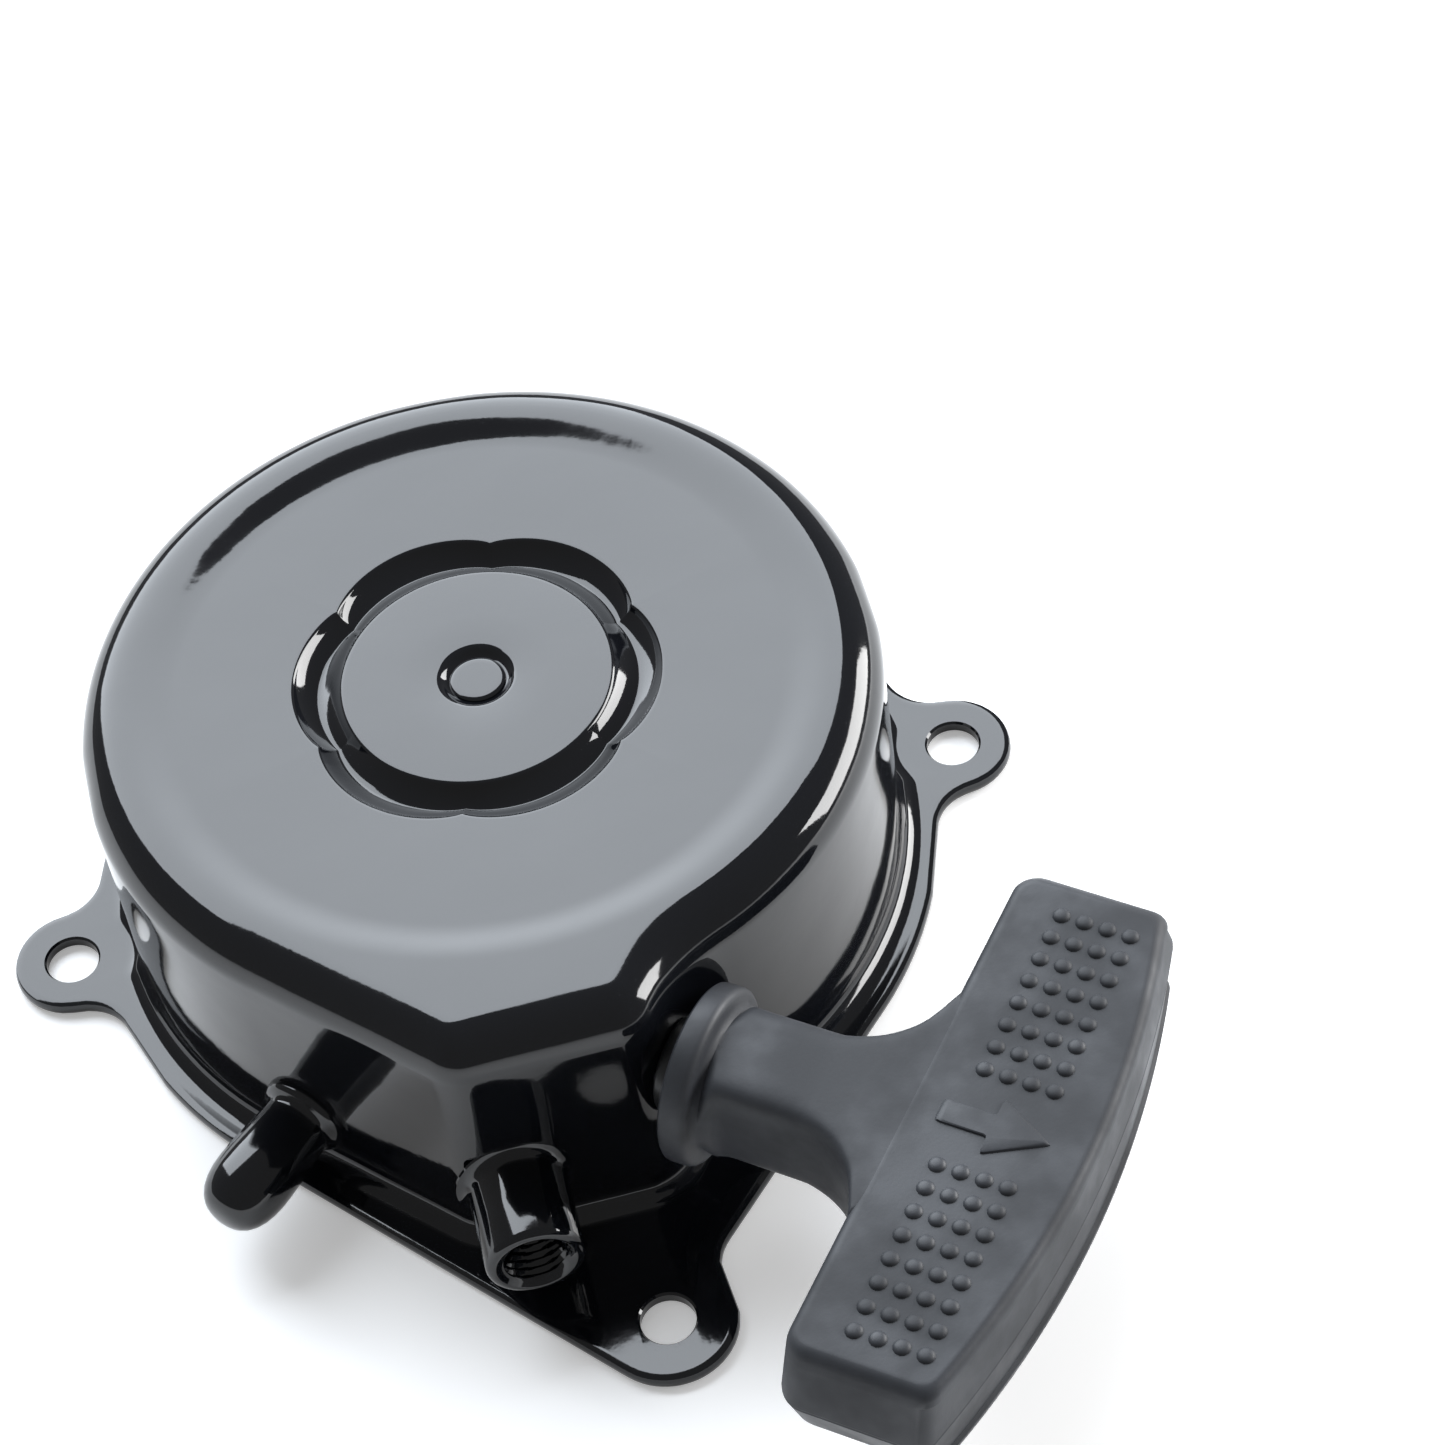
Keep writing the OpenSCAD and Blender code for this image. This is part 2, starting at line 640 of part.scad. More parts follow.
module reel() {
    color([0.1, 0.1, 0.11]) difference() {
        union() {
            cylinder_from(reel_front, groove_z - 2, reel_r);
            translate([0, 0, groove_z - 2]) cylinder(r1 = reel_r, r2 = reel_r - 1.5, h = 2);
            cylinder_from(groove_z - eps, reel_top, drum_r);
            cylinder_from(back_z, back_z + back_t, back_r);
            cylinder_from(hub_front, reel_front + eps, hub_r);
            translate([0, 0, reel_front - 1]) tube(ridge_r + 1.4, ridge_r, 2);
            translate([0, 0, reel_front - 1]) tube(ridge_r - 2, ridge_r - 3.2, 2);
            rotate([0, 0, 72]) translate([43, -2, reel_front - 3]) cube([5, 4, 4]);
        }
        cylinder_from(well_z, reel_top + 1, well_r);
        cylinder_from(hub_front - 1, well_z + 1, bush_r);
        translate([0, 0, hub_front - 1]) tube(19.5, 14.6, clip_z + clip_r + 1.9 - hub_front);
        for (a = [[98, 140], [60, 94], [4, 44]]) hub_pocket(a[0], a[1], 22);
        translate([0, 0, hub_front - 1]) sector(21, hub_r + 1, 150, 206, 0.9 + reel_front - hub_front);
        translate([0, 0, hub_front - 1]) sector(20.4, hub_r - 4, 203, 222, 5);
        pawl_pocket();
        translate([0, 0, hub_front - 1]) sector(18, hub_r + 1, finger_angle - 34, finger_angle + 8,
            0.9 + pocket_z - hub_front);
        for (i = [0 : 1]) translate([0, 0, hub_front - 1]) sector(19, 22, 164 + 26 * i, 176 + 26 * i, 4);
        translate([-7, -24.2, hub_front - 1]) cylinder(r = 2.6, h = 2.5);
        translate([pawl_pin_xy[0], pawl_pin_xy[1], 0]) cylinder(r = 2, h = reel_front + 3);
        translate([0, 0, hub_front - 2]) sector(20.2, hub_r - 1.6, knot_angle - 12, knot_angle + 12,
            groove_z + 9.5 - hub_front);
        rotate([0, 0, knot_angle]) translate([hub_r - 8, 0, groove_z + 4]) rotate([0, 90, 0])
            cylinder(r = rope_r + 0.3, h = drum_r - hub_r + 10);
    }
}

// Room for the pawl's curled eye and its strip, open towards the rim
module pawl_pocket() {
    reach = pawl_len + 6;
    translate([pawl_pin_xy[0], pawl_pin_xy[1], hub_front - 1]) rotate([0, 0, pawl_angle - 28])
        linear_extrude(1 + pocket_z - hub_front)
            polygon(concat([[reach, 0], [reach, 20], [0, 20]], arc([0, 0], 5.2, 90, 360, 24)));
}

module reel_bush() {
    color([0.7, 0.55, 0.3]) translate([0, 0, washer_z + washer_t + 0.2])
        tube(bush_r, shaft_r + run_fit, well_z - washer_z - washer_t - 0.2);
}

module spring_keeper() {
    color([0.4, 0.4, 0.43]) translate([0, 0, keeper_z]) tube(drum_r, arbor_r + 1, keeper_t);
}

module rope_coil() {
    color([0.6, 0.6, 0.56]) translate([0, 0, groove_z + 0.1]) tube(coil_r, drum_r, groove_w - 0.2);
}

module rope_knot() {
    color([0.9, 0.88, 0.78]) rotate([0, 0, knot_angle]) {
        translate([24.2, 1.1, hub_front + 7]) sphere(r = 3.5, $fn = 40);
        translate([23.9, -1.1, hub_front + 9.4]) sphere(r = 3.2, $fn = 40);
        translate([24, 0, hub_front + 9]) cylinder(r = rope_r - 0.2, h = groove_z + 4 - hub_front - 9);
        translate([24, 0, groove_z + 4]) rotate([0, 90, 0])
            cylinder(r = rope_r, h = drum_r - 24.2, $fn = 24);
    }
}

module pawl_pin() {
    color([0.7, 0.72, 0.74]) translate([pawl_pin_xy[0], pawl_pin_xy[1], pawl_low - 0.6]) {
        cylinder(r = 2, h = reel_front + 3 - pawl_low + 0.6);
    }
}

// A strip on edge: a curled eye round the pin, a straight leg, and two feet folded inward
module pawl() {
    eye_r = 4.4;
    h = pawl_high - pawl_low;
    color([0.82, 0.86, 0.9]) translate([pawl_pin_xy[0], pawl_pin_xy[1], pawl_low])
        rotate([0, 0, pawl_angle]) {
            tube(eye_r, 2.05, h);
            translate([2.6, -pawl_t / 2, 0]) cube([pawl_len - 2.6, pawl_t, h]);
            for (x = [12.5, 18.5]) translate([x, pawl_t / 2 - eps, h - 2.2]) cube([4.2, 3, 1.6]);
        }
}

// ---------------------------------------------------------------- friction clip

// The wire's run: up from the pawl's finger, round the hub, over it, down to the reel, up the peg
function clip_path() =
    let (a0 = finger_angle, a1 = clip_angle + 360, over = hub_r + 2)
    concat([pt(finger_dist, a0, 6), pt(finger_dist, a0, clip_z - 1), pt(finger_dist - 1, a0, clip_z)],
        [pt(clip_loop + 2, a0 + 1, clip_z)],
        [for (i = [0 : 40]) pt(clip_loop, a0 + 8 + (a1 - a0 - 14) * i / 40,
            clip_z + (clip_over_z - clip_z) * max(0, i - 36) / 4)],
        [pt(clip_loop + 2, a1 - 1, clip_over_z), pt(over, a1, clip_over_z), pt(over + 1.5, a1, clip_over_z + 1)],
        [pt(over + 2.5, a1, clip_under_z - 1), pt(over + 4, a1, clip_under_z)],
        [pt(peg_dist - 1, a1, clip_under_z), pt(peg_dist, a1, clip_under_z - 1), pt(peg_dist, a1, 4)]);

function pt(d, angle, z) = [d * cos(angle), d * sin(angle), z];

module friction_clip() {
    color([0.2, 0.2, 0.21]) wire(clip_path(), clip_r);
}

// ---------------------------------------------------------------- grip

// The T in plan: local +X is the pull direction, measured from the shaft axis
module grip_plan() {
    half = bar_len / 2;
    far = bar_near + bar_w + bar_bow;
    bow_r = (half * half + bar_bow * bar_bow) / (2 * bar_bow);
    fillet = 13;
    inset = 5;
    intersection() {
        translate([far - bow_r, 0]) circle(r = bow_r, $fn = 200);
        union() {
            translate([bar_near + inset, -half]) square([bar_w + bar_bow, bar_len]);
            translate([bar_near, -half + inset]) square([bar_w, bar_len - 2 * inset]);
            for (s = [-1, 1]) translate([bar_near + inset, s * (half - inset)]) circle(r = inset);
        }
    }
    difference() {
        translate([grip_near + 1, -stem_w / 2 - fillet])
            square([bar_near + 2 - grip_near - 1, stem_w + 2 * fillet]);
        for (s = [-1, 1]) {
            translate([bar_near - fillet, s * (stem_w / 2 + fillet)]) circle(r = fillet);
            translate([grip_near, s * (stem_w + fillet + eps) - stem_w / 2 - fillet / 2])
                square([bar_near - fillet - grip_near, stem_w + fillet]);
        }
    }
}

chamber_r = 8;
chamber_x = bar_near + 10;
cap_x = bar_near + bar_w - 4;

module grip() {
    far = bar_near + bar_w + bar_bow;
    color([0.22, 0.22, 0.23]) on_rope_line(grip_z) difference() {
        union() {
            translate([0, 0, -bar_h / 2]) linear_extrude(bar_h) intersection() {
                grip_plan();
                translate([bar_near - 4, -bar_len]) square([bar_w * 2, bar_len * 2]);
            }
            translate([0, 0, -stem_h / 2]) linear_extrude(stem_h) intersection() {
                grip_plan();
                translate([grip_near, -bar_len]) square([bar_near - grip_near, bar_len * 2]);
            }
            translate([grip_near, 0, 0]) rotate([0, 90, 0]) cylinder(r = collar_r, h = collar_t);
        }
        translate([grip_near - 1, 0, rope_z - grip_z]) rotate([0, 90, 0])
            cylinder(r = rope_r + 0.3, h = chamber_x - grip_near + 2);
        translate([chamber_x, 0, rope_z - grip_z]) rotate([0, 90, 0])
            cylinder(r = chamber_r, h = far - chamber_x + 1);
    }
}

// The plug that closes the knot's chamber
module grip_cap() {
    color([0.18, 0.18, 0.19]) on_rope_line(rope_z) translate([cap_x, 0, 0]) rotate([0, 90, 0])
        cylinder(r = chamber_r - 0.1, h = bar_bow + 2.5);
}

module grip_rope() {
    color([0.55, 0.55, 0.5]) on_rope_line(rope_z) translate([grip_near, 0, 0]) rotate([0, 90, 0])
        cylinder(r = rope_r, h = chamber_x + 1.5 - grip_near, $fn = 24);
}

module grip_washer() {
    color([0.7, 0.72, 0.74]) on_rope_line(rope_z) translate([chamber_x, 0, 0]) rotate([0, 90, 0])
        tube(chamber_r - 0.4, rope_r + 0.2, 1.6);
}

module grip_knot() {
    color([0.85, 0.83, 0.75]) on_rope_line(rope_z) {
        translate([chamber_x + 5.6, 0, 1.2]) sphere(r = 3.9, $fn = 40);
        translate([chamber_x + 6.4, 0, -2]) sphere(r = 3.8, $fn = 40);
    }
}

housing_roof();
housing_wall();
housing_flange();
cable_boss();
shaft();
circlip();
thrust_washer();
spring_arbor();
recoil_spring();
rope_guide();
rope_lead();
bracket();
leaf_spring();
clamp_plate();
bracket_bolt();
bolt_washer();
stud_cap();
lever_pin();
lever_spring();
reel();
reel_bush();
spring_keeper();
rope_coil();
rope_knot();
pawl_pin();
pawl();
friction_clip();
lockout_lever();
cable_hook();
grip();
grip_cap();
grip_rope();
grip_knot();
grip_washer();
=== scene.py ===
"""Finish and detail of a pull-rope recoil starter, built round its fixed mechanical model.

Lengths inside the modelling helpers are in millimetres; meshes are placed in metres.
"""

import json
import math

import bmesh
import bpy
import numpy as np
from bpy.props import FloatProperty, FloatVectorProperty, PointerProperty
from mathutils import Matrix, Vector

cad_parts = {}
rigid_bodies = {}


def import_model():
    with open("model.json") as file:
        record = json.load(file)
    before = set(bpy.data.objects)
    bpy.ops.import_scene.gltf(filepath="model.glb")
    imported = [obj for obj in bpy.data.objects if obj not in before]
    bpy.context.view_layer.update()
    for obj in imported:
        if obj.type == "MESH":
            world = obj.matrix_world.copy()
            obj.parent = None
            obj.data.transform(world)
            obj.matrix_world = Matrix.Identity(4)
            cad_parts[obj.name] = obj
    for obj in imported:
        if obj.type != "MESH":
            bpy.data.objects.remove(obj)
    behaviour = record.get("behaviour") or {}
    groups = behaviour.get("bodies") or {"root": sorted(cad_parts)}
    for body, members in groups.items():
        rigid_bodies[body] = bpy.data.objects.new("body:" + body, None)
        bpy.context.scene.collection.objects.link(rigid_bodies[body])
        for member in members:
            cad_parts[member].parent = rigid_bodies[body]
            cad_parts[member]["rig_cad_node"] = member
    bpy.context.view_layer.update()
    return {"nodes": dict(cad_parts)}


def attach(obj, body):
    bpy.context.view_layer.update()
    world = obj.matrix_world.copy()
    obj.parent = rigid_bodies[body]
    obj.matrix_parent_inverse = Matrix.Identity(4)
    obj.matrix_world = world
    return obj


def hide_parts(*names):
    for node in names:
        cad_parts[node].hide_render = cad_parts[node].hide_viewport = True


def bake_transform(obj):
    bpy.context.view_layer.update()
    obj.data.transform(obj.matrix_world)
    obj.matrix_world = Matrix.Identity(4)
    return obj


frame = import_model()
NODES = frame["nodes"]

bl_info = {
    "name": "Recoil starter",
    "version": (1, 0, 0),
    "blender": (4, 5, 0),
    "location": "View3D > Sidebar > Starter",
    "description": "Builds the visible pieces of a pull-rope recoil starter",
    "category": "Object",
}

MM = 0.001
STATIONS = 720
SIDE_HOLE = Vector((82, 0))
REAR_HOLE = Vector((5, 80.5))
CORNER_HOLE = Vector((5, -104))
LEFT_WALL = -136
PULL_WALL = -38
FRONT_DIST = 79
OUTLET_DIST = 58
FLANGE_R = 76.5
ROPE_OFF = 48.5
ROPE_Z = 31
GRIP_Z = 32
ROPE_R = 2.6


# ------------------------------------------------------------------ sizes and colours


def length(name, description, default):
    return FloatProperty(name=name, description=description, default=default, unit="LENGTH", precision=4)


def colour(name, description, default):
    return FloatVectorProperty(name=name, description=description, default=default, subtype="COLOR")


class CupSizes(bpy.types.PropertyGroup):
    wall_radius: length("Wall radius", "Outside radius of the round wall", 0.070)
    height: length("Height", "From the flange's face to the top of the bead", 0.054)
    sheet: length("Sheet", "Thickness of the pressed sheet", 0.0025)
    edge: length("Edge radius", "Rounding between wall and roof", 0.008)
    fillet: length("Flange fillet", "Rounding between wall and flange", 0.004)
    panel_drop: length("Panel drop", "How far the panel lies below the bead", 0.0015)
    groove_depth: length("Groove depth", "Depth of the lobed groove", 0.0030)
    hole_radius: length("Bolt hole radius", "Radius of the four flange holes", 0.00475)


class GripSizes(bpy.types.PropertyGroup):
    bar_length: length("Bar length", "Length of the grip's bar", 0.106)
    half_height: length("Half height", "From the parting line to the bar's flat face", 0.0112)
    stem_width: length("Stem width", "Width of the stem", 0.020)
    collar_radius: length("Collar radius", "Radius of the collar at the outlet", 0.0155)
    pip_radius: length("Pip radius", "Radius of one raised pip", 0.00155)


class Colours(bpy.types.PropertyGroup):
    enamel: colour("Enamel", "Black stoved enamel", (0.0035, 0.004, 0.0055))
    rubber: colour("Grip", "Charcoal grip moulding", (0.017, 0.0185, 0.022))
    nylon: colour("Nylon", "Black reel moulding", (0.011, 0.012, 0.013))
    zinc: colour("Zinc", "Bright zinc plating", (0.62, 0.66, 0.72))
    steel: colour("Steel", "Turned steel", (0.60, 0.58, 0.55))
    rope: colour("Rope", "Grey braided rope", (0.34, 0.34, 0.31))
    knot: colour("Knot", "Sealed rope end", (0.78, 0.72, 0.52))


# ------------------------------------------------------------------ plane geometry


def unit(angle):
    return Vector((math.cos(math.radians(angle)), math.sin(math.radians(angle))))


def arc(centre, radius, start, end, steps=8):
    return [Vector(centre) + radius * unit(start + (end - start) * i / steps) for i in range(steps + 1)]


def crossing(angle_a, dist_a, angle_b, dist_b):
    """Where two lines meet, each given by its normal's direction and its distance from the axis."""
    a, b = unit(angle_a), unit(angle_b)
    return Vector((dist_a * b.y - dist_b * a.y, dist_b * a.x - dist_a * b.x)) / (a.x * b.y - a.y * b.x)


def bearing(point):
    return math.degrees(math.atan2(point[1], point[0]))


def eased(points, radius, steps=4, closed=True):
    """The same outline with its corners rounded."""
    out, last = [], len(points) - 1
    for i, point in enumerate(points):
        if not closed and i in (0, last):
            out.append(point)
            continue
        before, after = points[i - 1] - point, points[(i + 1) % len(points)] - point
        start = point + before.normalized() * min(radius, before.length * 0.48)
        end = point + after.normalized() * min(radius, after.length * 0.48)
        for k in range(steps + 1):
            t = k / steps
            out.append((1 - t) ** 2 * start + 2 * t * (1 - t) * point + t * t * end)
    return out


def outward(outline):
    """Unit normals of a closed outline that runs anticlockwise."""
    along = np.roll(outline, -1, axis=0) - np.roll(outline, 1, axis=0)
    along /= np.linalg.norm(along, axis=1)[:, None]
    return np.stack([along[:, 1], -along[:, 0]], axis=1)


RAYS = np.array([tuple(unit(360 * i / STATIONS + 0.07)) for i in range(STATIONS)])
BEARINGS = np.degrees(np.arctan2(RAYS[:, 1], RAYS[:, 0]))


def reach(outline):
    """How far a closed outline lies from the axis, at each station."""
    a = np.array([tuple(p) for p in outline])
    e = np.roll(a, -1, axis=0) - a
    cross = RAYS[:, None, 0] * e[None, :, 1] - RAYS[:, None, 1] * e[None, :, 0]
    cross = np.where(np.abs(cross) < 1e-9, 1e-9, cross)
    along = (a[None, :, 0] * e[None, :, 1] - a[None, :, 1] * e[None, :, 0]) / cross
    share = (a[None, :, 0] * RAYS[:, None, 1] - a[None, :, 1] * RAYS[:, None, 0]) / cross
    hit = (share >= -1e-6) & (share <= 1 + 1e-6) & (along > 0)
    return np.where(hit, along, 0).max(axis=1)


def circle_side(centre, radius, far):
    """How far the near or far side of a circle beside the axis lies from it, at each station."""
    c = np.array(tuple(centre))
    along = RAYS @ c
    square = radius**2 - (c @ c - along**2)
    root = np.sqrt(np.maximum(square, 0))
    side = along + root if far else along - root
    return np.where((square > 0) & (along > 0), side, 0 if far else 1e3)


def soft_max(a, b, blend):
    h = np.clip(0.5 + 0.5 * (a - b) / blend, 0, 1)
    return b * (1 - h) + a * h + blend * h * (1 - h)


def soft_min(a, b, blend):
    return -soft_max(-a, -b, blend)


# ------------------------------------------------------------------ modelling in edit mode


def clear():
    """Back to object mode with nothing selected."""
    if bpy.context.object and bpy.context.object.mode != "OBJECT":
        bpy.ops.object.mode_set(mode="OBJECT")
    bpy.ops.object.select_all(action="DESELECT")


def pick(*pieces):
    clear()
    for piece in pieces:
        piece.select_set(True)
    bpy.context.view_layer.objects.active = pieces[0]


def edit(piece):
    pick(piece)
    bpy.ops.object.mode_set(mode="EDIT")
    bpy.ops.mesh.select_all(action="SELECT")


def set_ring(piece, ring):
    """Moves the selected ring's points to their places."""
    mesh = bmesh.from_edit_mesh(piece.data)
    station = mesh.verts.layers.int["station"]
    for vert in mesh.verts:
        if vert.select:
            x, y, z = ring[vert[station]]
            vert.co = (x * MM, y * MM, z * MM)
    bmesh.update_edit_mesh(piece.data)


def loft(rings, closed=False):
    """A circle extruded ring by ring, each ring set on its own outline.

    An open row of rings starts from a filled circle and ends capped; a closed one joins up.
    """
    clear()
    bpy.ops.mesh.primitive_circle_add(
        vertices=len(rings[0]), radius=MM, fill_type="NOTHING" if closed else "NGON")
    piece = bpy.context.object
    bpy.ops.object.mode_set(mode="EDIT")
    bpy.ops.mesh.select_all(action="SELECT")
    mesh = bmesh.from_edit_mesh(piece.data)
    station = mesh.verts.layers.int.new("station")
    for i, vert in enumerate(mesh.verts):
        vert[station] = i
    set_ring(piece, rings[0])
    for ring in rings[1:] + (rings[:1] if closed else []):
        if closed:
            bpy.ops.mesh.extrude_edges_indiv()
        else:
            bpy.ops.mesh.extrude_region()
        set_ring(piece, ring)
    bpy.ops.mesh.select_all(action="SELECT")
    if closed:
        bpy.ops.mesh.remove_doubles(threshold=1e-7)
    bpy.ops.mesh.normals_make_consistent(inside=False)
    mesh = bmesh.from_edit_mesh(piece.data)
    mesh.verts.layers.int.remove(mesh.verts.layers.int["station"])
    bmesh.update_edit_mesh(piece.data)
    clear()
    return piece


UPRIGHT = Matrix.Identity(4)


def axis_frame(origin, axis, across=(0, 0, 1)):
    """A frame at a point whose Z runs along the axis."""
    z = Vector(axis).normalized()
    x = Vector(across)
    x = (x - z * x.dot(z)).normalized()
    y = z.cross(x)
    turn = Matrix((x, y, z)).transposed().to_4x4()
    return Matrix.Translation(Vector(origin)) @ turn


def turned(profile, place=UPRIGHT, steps=96, closed=False):
    """A profile of (radius, height) points spun round a frame's Z axis."""
    rim = [unit(360 * i / steps) for i in range(steps)]
    rings = [[place @ Vector((r * p.x, r * p.y, h)) for p in rim] for r, h in profile]
    return loft(rings, closed)


def tube_rings(path, section, closed=False):
    """Rings of a section along a path; section(i, angle) gives the radius."""
    path = [Vector(p) for p in path]
    count = len(path)
    rings = []
    side = None
    for i, point in enumerate(path):
        ahead = path[(i + 1) % count] if closed else path[min(i + 1, count - 1)]
        behind = path[i - 1] if closed else path[max(i - 1, 0)]
        along = (ahead - behind).normalized()
        if side is None:
            side = along.orthogonal()
        side = (side - along * side.dot(along)).normalized()
        rings.append((point, side.copy(), along.cross(side)))
    slip = 0
    if closed:
        first, last = rings[0], rings[-1]
        slip = math.atan2(last[1].dot(first[2]), last[1].dot(first[1]))
    out = []
    for i, (point, x, y) in enumerate(rings):
        ring = []
        for k in range(section.sides):
            angle = 2 * math.pi * k / section.sides
            r = section(i, angle)
            turn = angle - slip * i / count
            ring.append(point + x * (r * math.cos(turn)) + y * (r * math.sin(turn)))
        out.append(ring)
    return out


class Section:
    """A tube's section: a radius, or a function of the ring and the angle round it."""

    def __init__(self, radius, sides=16):
        self.radius = radius
        self.sides = sides

    def __call__(self, i, angle):
        return self.radius(i, angle) if callable(self.radius) else self.radius


def smooth_path(points, step, ease):
    """A path with its bends rounded and its points set out evenly."""
    points = eased([Vector(p) for p in points], ease, 6, closed=False)
    run = [0.0]
    for a, b in zip(points, points[1:]):
        run.append(run[-1] + (b - a).length)
    at = np.linspace(0, run[-1], max(2, int(run[-1] / step)))
    table = np.array([tuple(p) for p in points])
    return [Vector([float(np.interp(s, run, table[:, k])) for k in range(3)]) for s in at]


def apply_modifier(piece, kind, **settings):
    pick(piece)
    modifier = piece.modifiers.new(kind.title(), kind)
    for key, value in settings.items():
        setattr(modifier, key, value)
    bpy.ops.object.modifier_apply(modifier=modifier.name)
    return piece


def combine(piece, tool, operation="DIFFERENCE"):
    apply_modifier(piece, "BOOLEAN", object=tool, operation=operation, solver="EXACT")
    mesh = tool.data
    bpy.data.objects.remove(tool)
    bpy.data.meshes.remove(mesh)
    return piece


def join(pieces):
    pick(*pieces)
    bpy.ops.object.join()
    return pieces[0]


def copied(piece, shift):
    """A copy with its own mesh, moved in edit mode."""
    pick(piece)
    bpy.ops.object.duplicate(linked=False)
    twin = bpy.context.object
    edit(twin)
    bpy.ops.transform.translate(value=tuple(Vector(shift) * MM))
    clear()
    return twin


def settle(piece, name, body, material, replaced=(), crease=35):
    """Finishes a piece: normals, shading, material and body."""
    edit(piece)
    bpy.ops.mesh.normals_make_consistent(inside=False)
    clear()
    pick(piece)
    bpy.ops.object.transform_apply(location=True, rotation=True, scale=True)
    bpy.ops.object.shade_smooth_by_angle(angle=math.radians(crease))
    piece.name = name
    piece.data.name = name
    piece.data.materials.clear()
    piece.data.materials.append(bpy.data.materials[material])
    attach(piece, body)
    if replaced:
        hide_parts(*replaced)
    clear()
    return piece


def softened(node, width, name, body, material, segments=2):
    """A copy of a mechanical piece with its sharp edges broken."""
    pick(NODES[node])
    bpy.ops.object.duplicate(linked=False)
    piece = bpy.context.object
    piece.parent = None
    del piece["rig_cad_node"]
    edit(piece)
    bpy.ops.mesh.remove_doubles(threshold=1e-6)
    bpy.ops.mesh.dissolve_limited(angle_limit=math.radians(2))
    clear()
    apply_modifier(piece, "BEVEL", width=width * MM, segments=segments, limit_method="ANGLE",
                   angle_limit=math.radians(38), use_clamp_overlap=True, harden_normals=False)
    edit(piece)
    bpy.ops.mesh.remove_doubles(threshold=1e-7)
    return settle(piece, name, body, material, (node,))


# ------------------------------------------------------------------ finishes


class Value:
    """A node socket that can be reckoned with; each operation adds a Math node."""

    def __init__(self, finish, socket):
        self.finish = finish
        self.socket = socket

    def math(self, operation, *others):
        values = {i: other for i, other in enumerate((self,) + others)}
        return self.finish.node("ShaderNodeMath", {"operation": operation}, values)

    def flipped(self, operation, other):
        return self.finish.node("ShaderNodeMath", {"operation": operation}, {0: other, 1: self})

    def __add__(self, other):
        return self.math("ADD", other)

    def __sub__(self, other):
        return self.math("SUBTRACT", other)

    def __mul__(self, other):
        return self.math("MULTIPLY", other)

    def __truediv__(self, other):
        return self.math("DIVIDE", other)

    def __pow__(self, other):
        return self.math("POWER", other)

    def __rsub__(self, other):
        return self.flipped("SUBTRACT", other)

    def __rtruediv__(self, other):
        return self.flipped("DIVIDE", other)

    __radd__ = __add__
    __rmul__ = __mul__

    def ramp(self, low, high, to_low=0.0, to_high=1.0):
        settings = {"interpolation_type": "SMOOTHSTEP", "clamp": True}
        values = {"Value": self, "From Min": low, "From Max": high, "To Min": to_low, "To Max": to_high}
        return self.finish.node("ShaderNodeMapRange", settings, values)


class Finish:
    """One material: a Principled shader with procedural detail."""

    def __init__(self, name):
        self.material = bpy.data.materials.new(name)
        self.material.use_nodes = True
        self.nodes = self.material.node_tree.nodes
        self.links = self.material.node_tree.links
        self.nodes.clear()
        self.shader = self.nodes.new("ShaderNodeBsdfPrincipled")
        self.output = self.nodes.new("ShaderNodeOutputMaterial")
        self.links.new(self.shader.outputs[0], self.output.inputs[0])

    def feed(self, socket, value):
        if isinstance(value, Value):
            self.links.new(value.socket, socket)
        elif isinstance(value, tuple) and len(value) == 3 and socket.type == "RGBA":
            socket.default_value = value + (1,)
        else:
            socket.default_value = value

    def node(self, kind, settings=None, inputs=None, out=0):
        node = self.nodes.new(kind)
        for key, value in (settings or {}).items():
            if key == "stops":
                for k, (place, shade) in enumerate(value):
                    stop = node.color_ramp.elements[k] if k < 2 else node.color_ramp.elements.new(place)
                    stop.position, stop.color = place, shade + (1,)
            else:
                setattr(node, key, value)
        for key, value in (inputs or {}).items():
            self.feed(node.inputs[key], value)
        return Value(self, node.outputs[out])

    def place(self, scale=(1, 1, 1), turn=(0, 0, 0), shift=(0, 0, 0)):
        """Object coordinates in metres, shifted, turned and scaled."""
        spot = self.node("ShaderNodeTexCoord", out="Object")
        return self.node("ShaderNodeMapping", {"vector_type": "POINT"},
                         {"Vector": spot, "Scale": scale, "Rotation": turn, "Location": shift})

    def noise(self, per_metre, detail=3.0, roughness=0.5, where=None):
        return self.node("ShaderNodeTexNoise", {}, {
            "Vector": where or self.place(), "Scale": per_metre, "Detail": detail, "Roughness": roughness})

    def mix(self, first, second, share):
        return self.node("ShaderNodeMix", {"data_type": "RGBA"}, {0: share, 6: first, 7: second}, out=2)

    def axis_distance(self):
        """Distance from the starter's axis, in metres."""
        parts = self.node("ShaderNodeSeparateXYZ", {}, {0: self.place()})
        x = Value(self, parts.socket.node.outputs[0])
        y = Value(self, parts.socket.node.outputs[1])
        return (x * x + y * y) ** 0.5

    def bump(self, height, strength, distance, under=None):
        values = {"Height": height, "Strength": strength, "Distance": distance}
        if under is not None:
            values["Normal"] = under
        return self.node("ShaderNodeBump", {}, values)

    def set(self, **values):
        for key, value in values.items():
            self.feed(self.shader.inputs[key.replace("_", " ")], value)


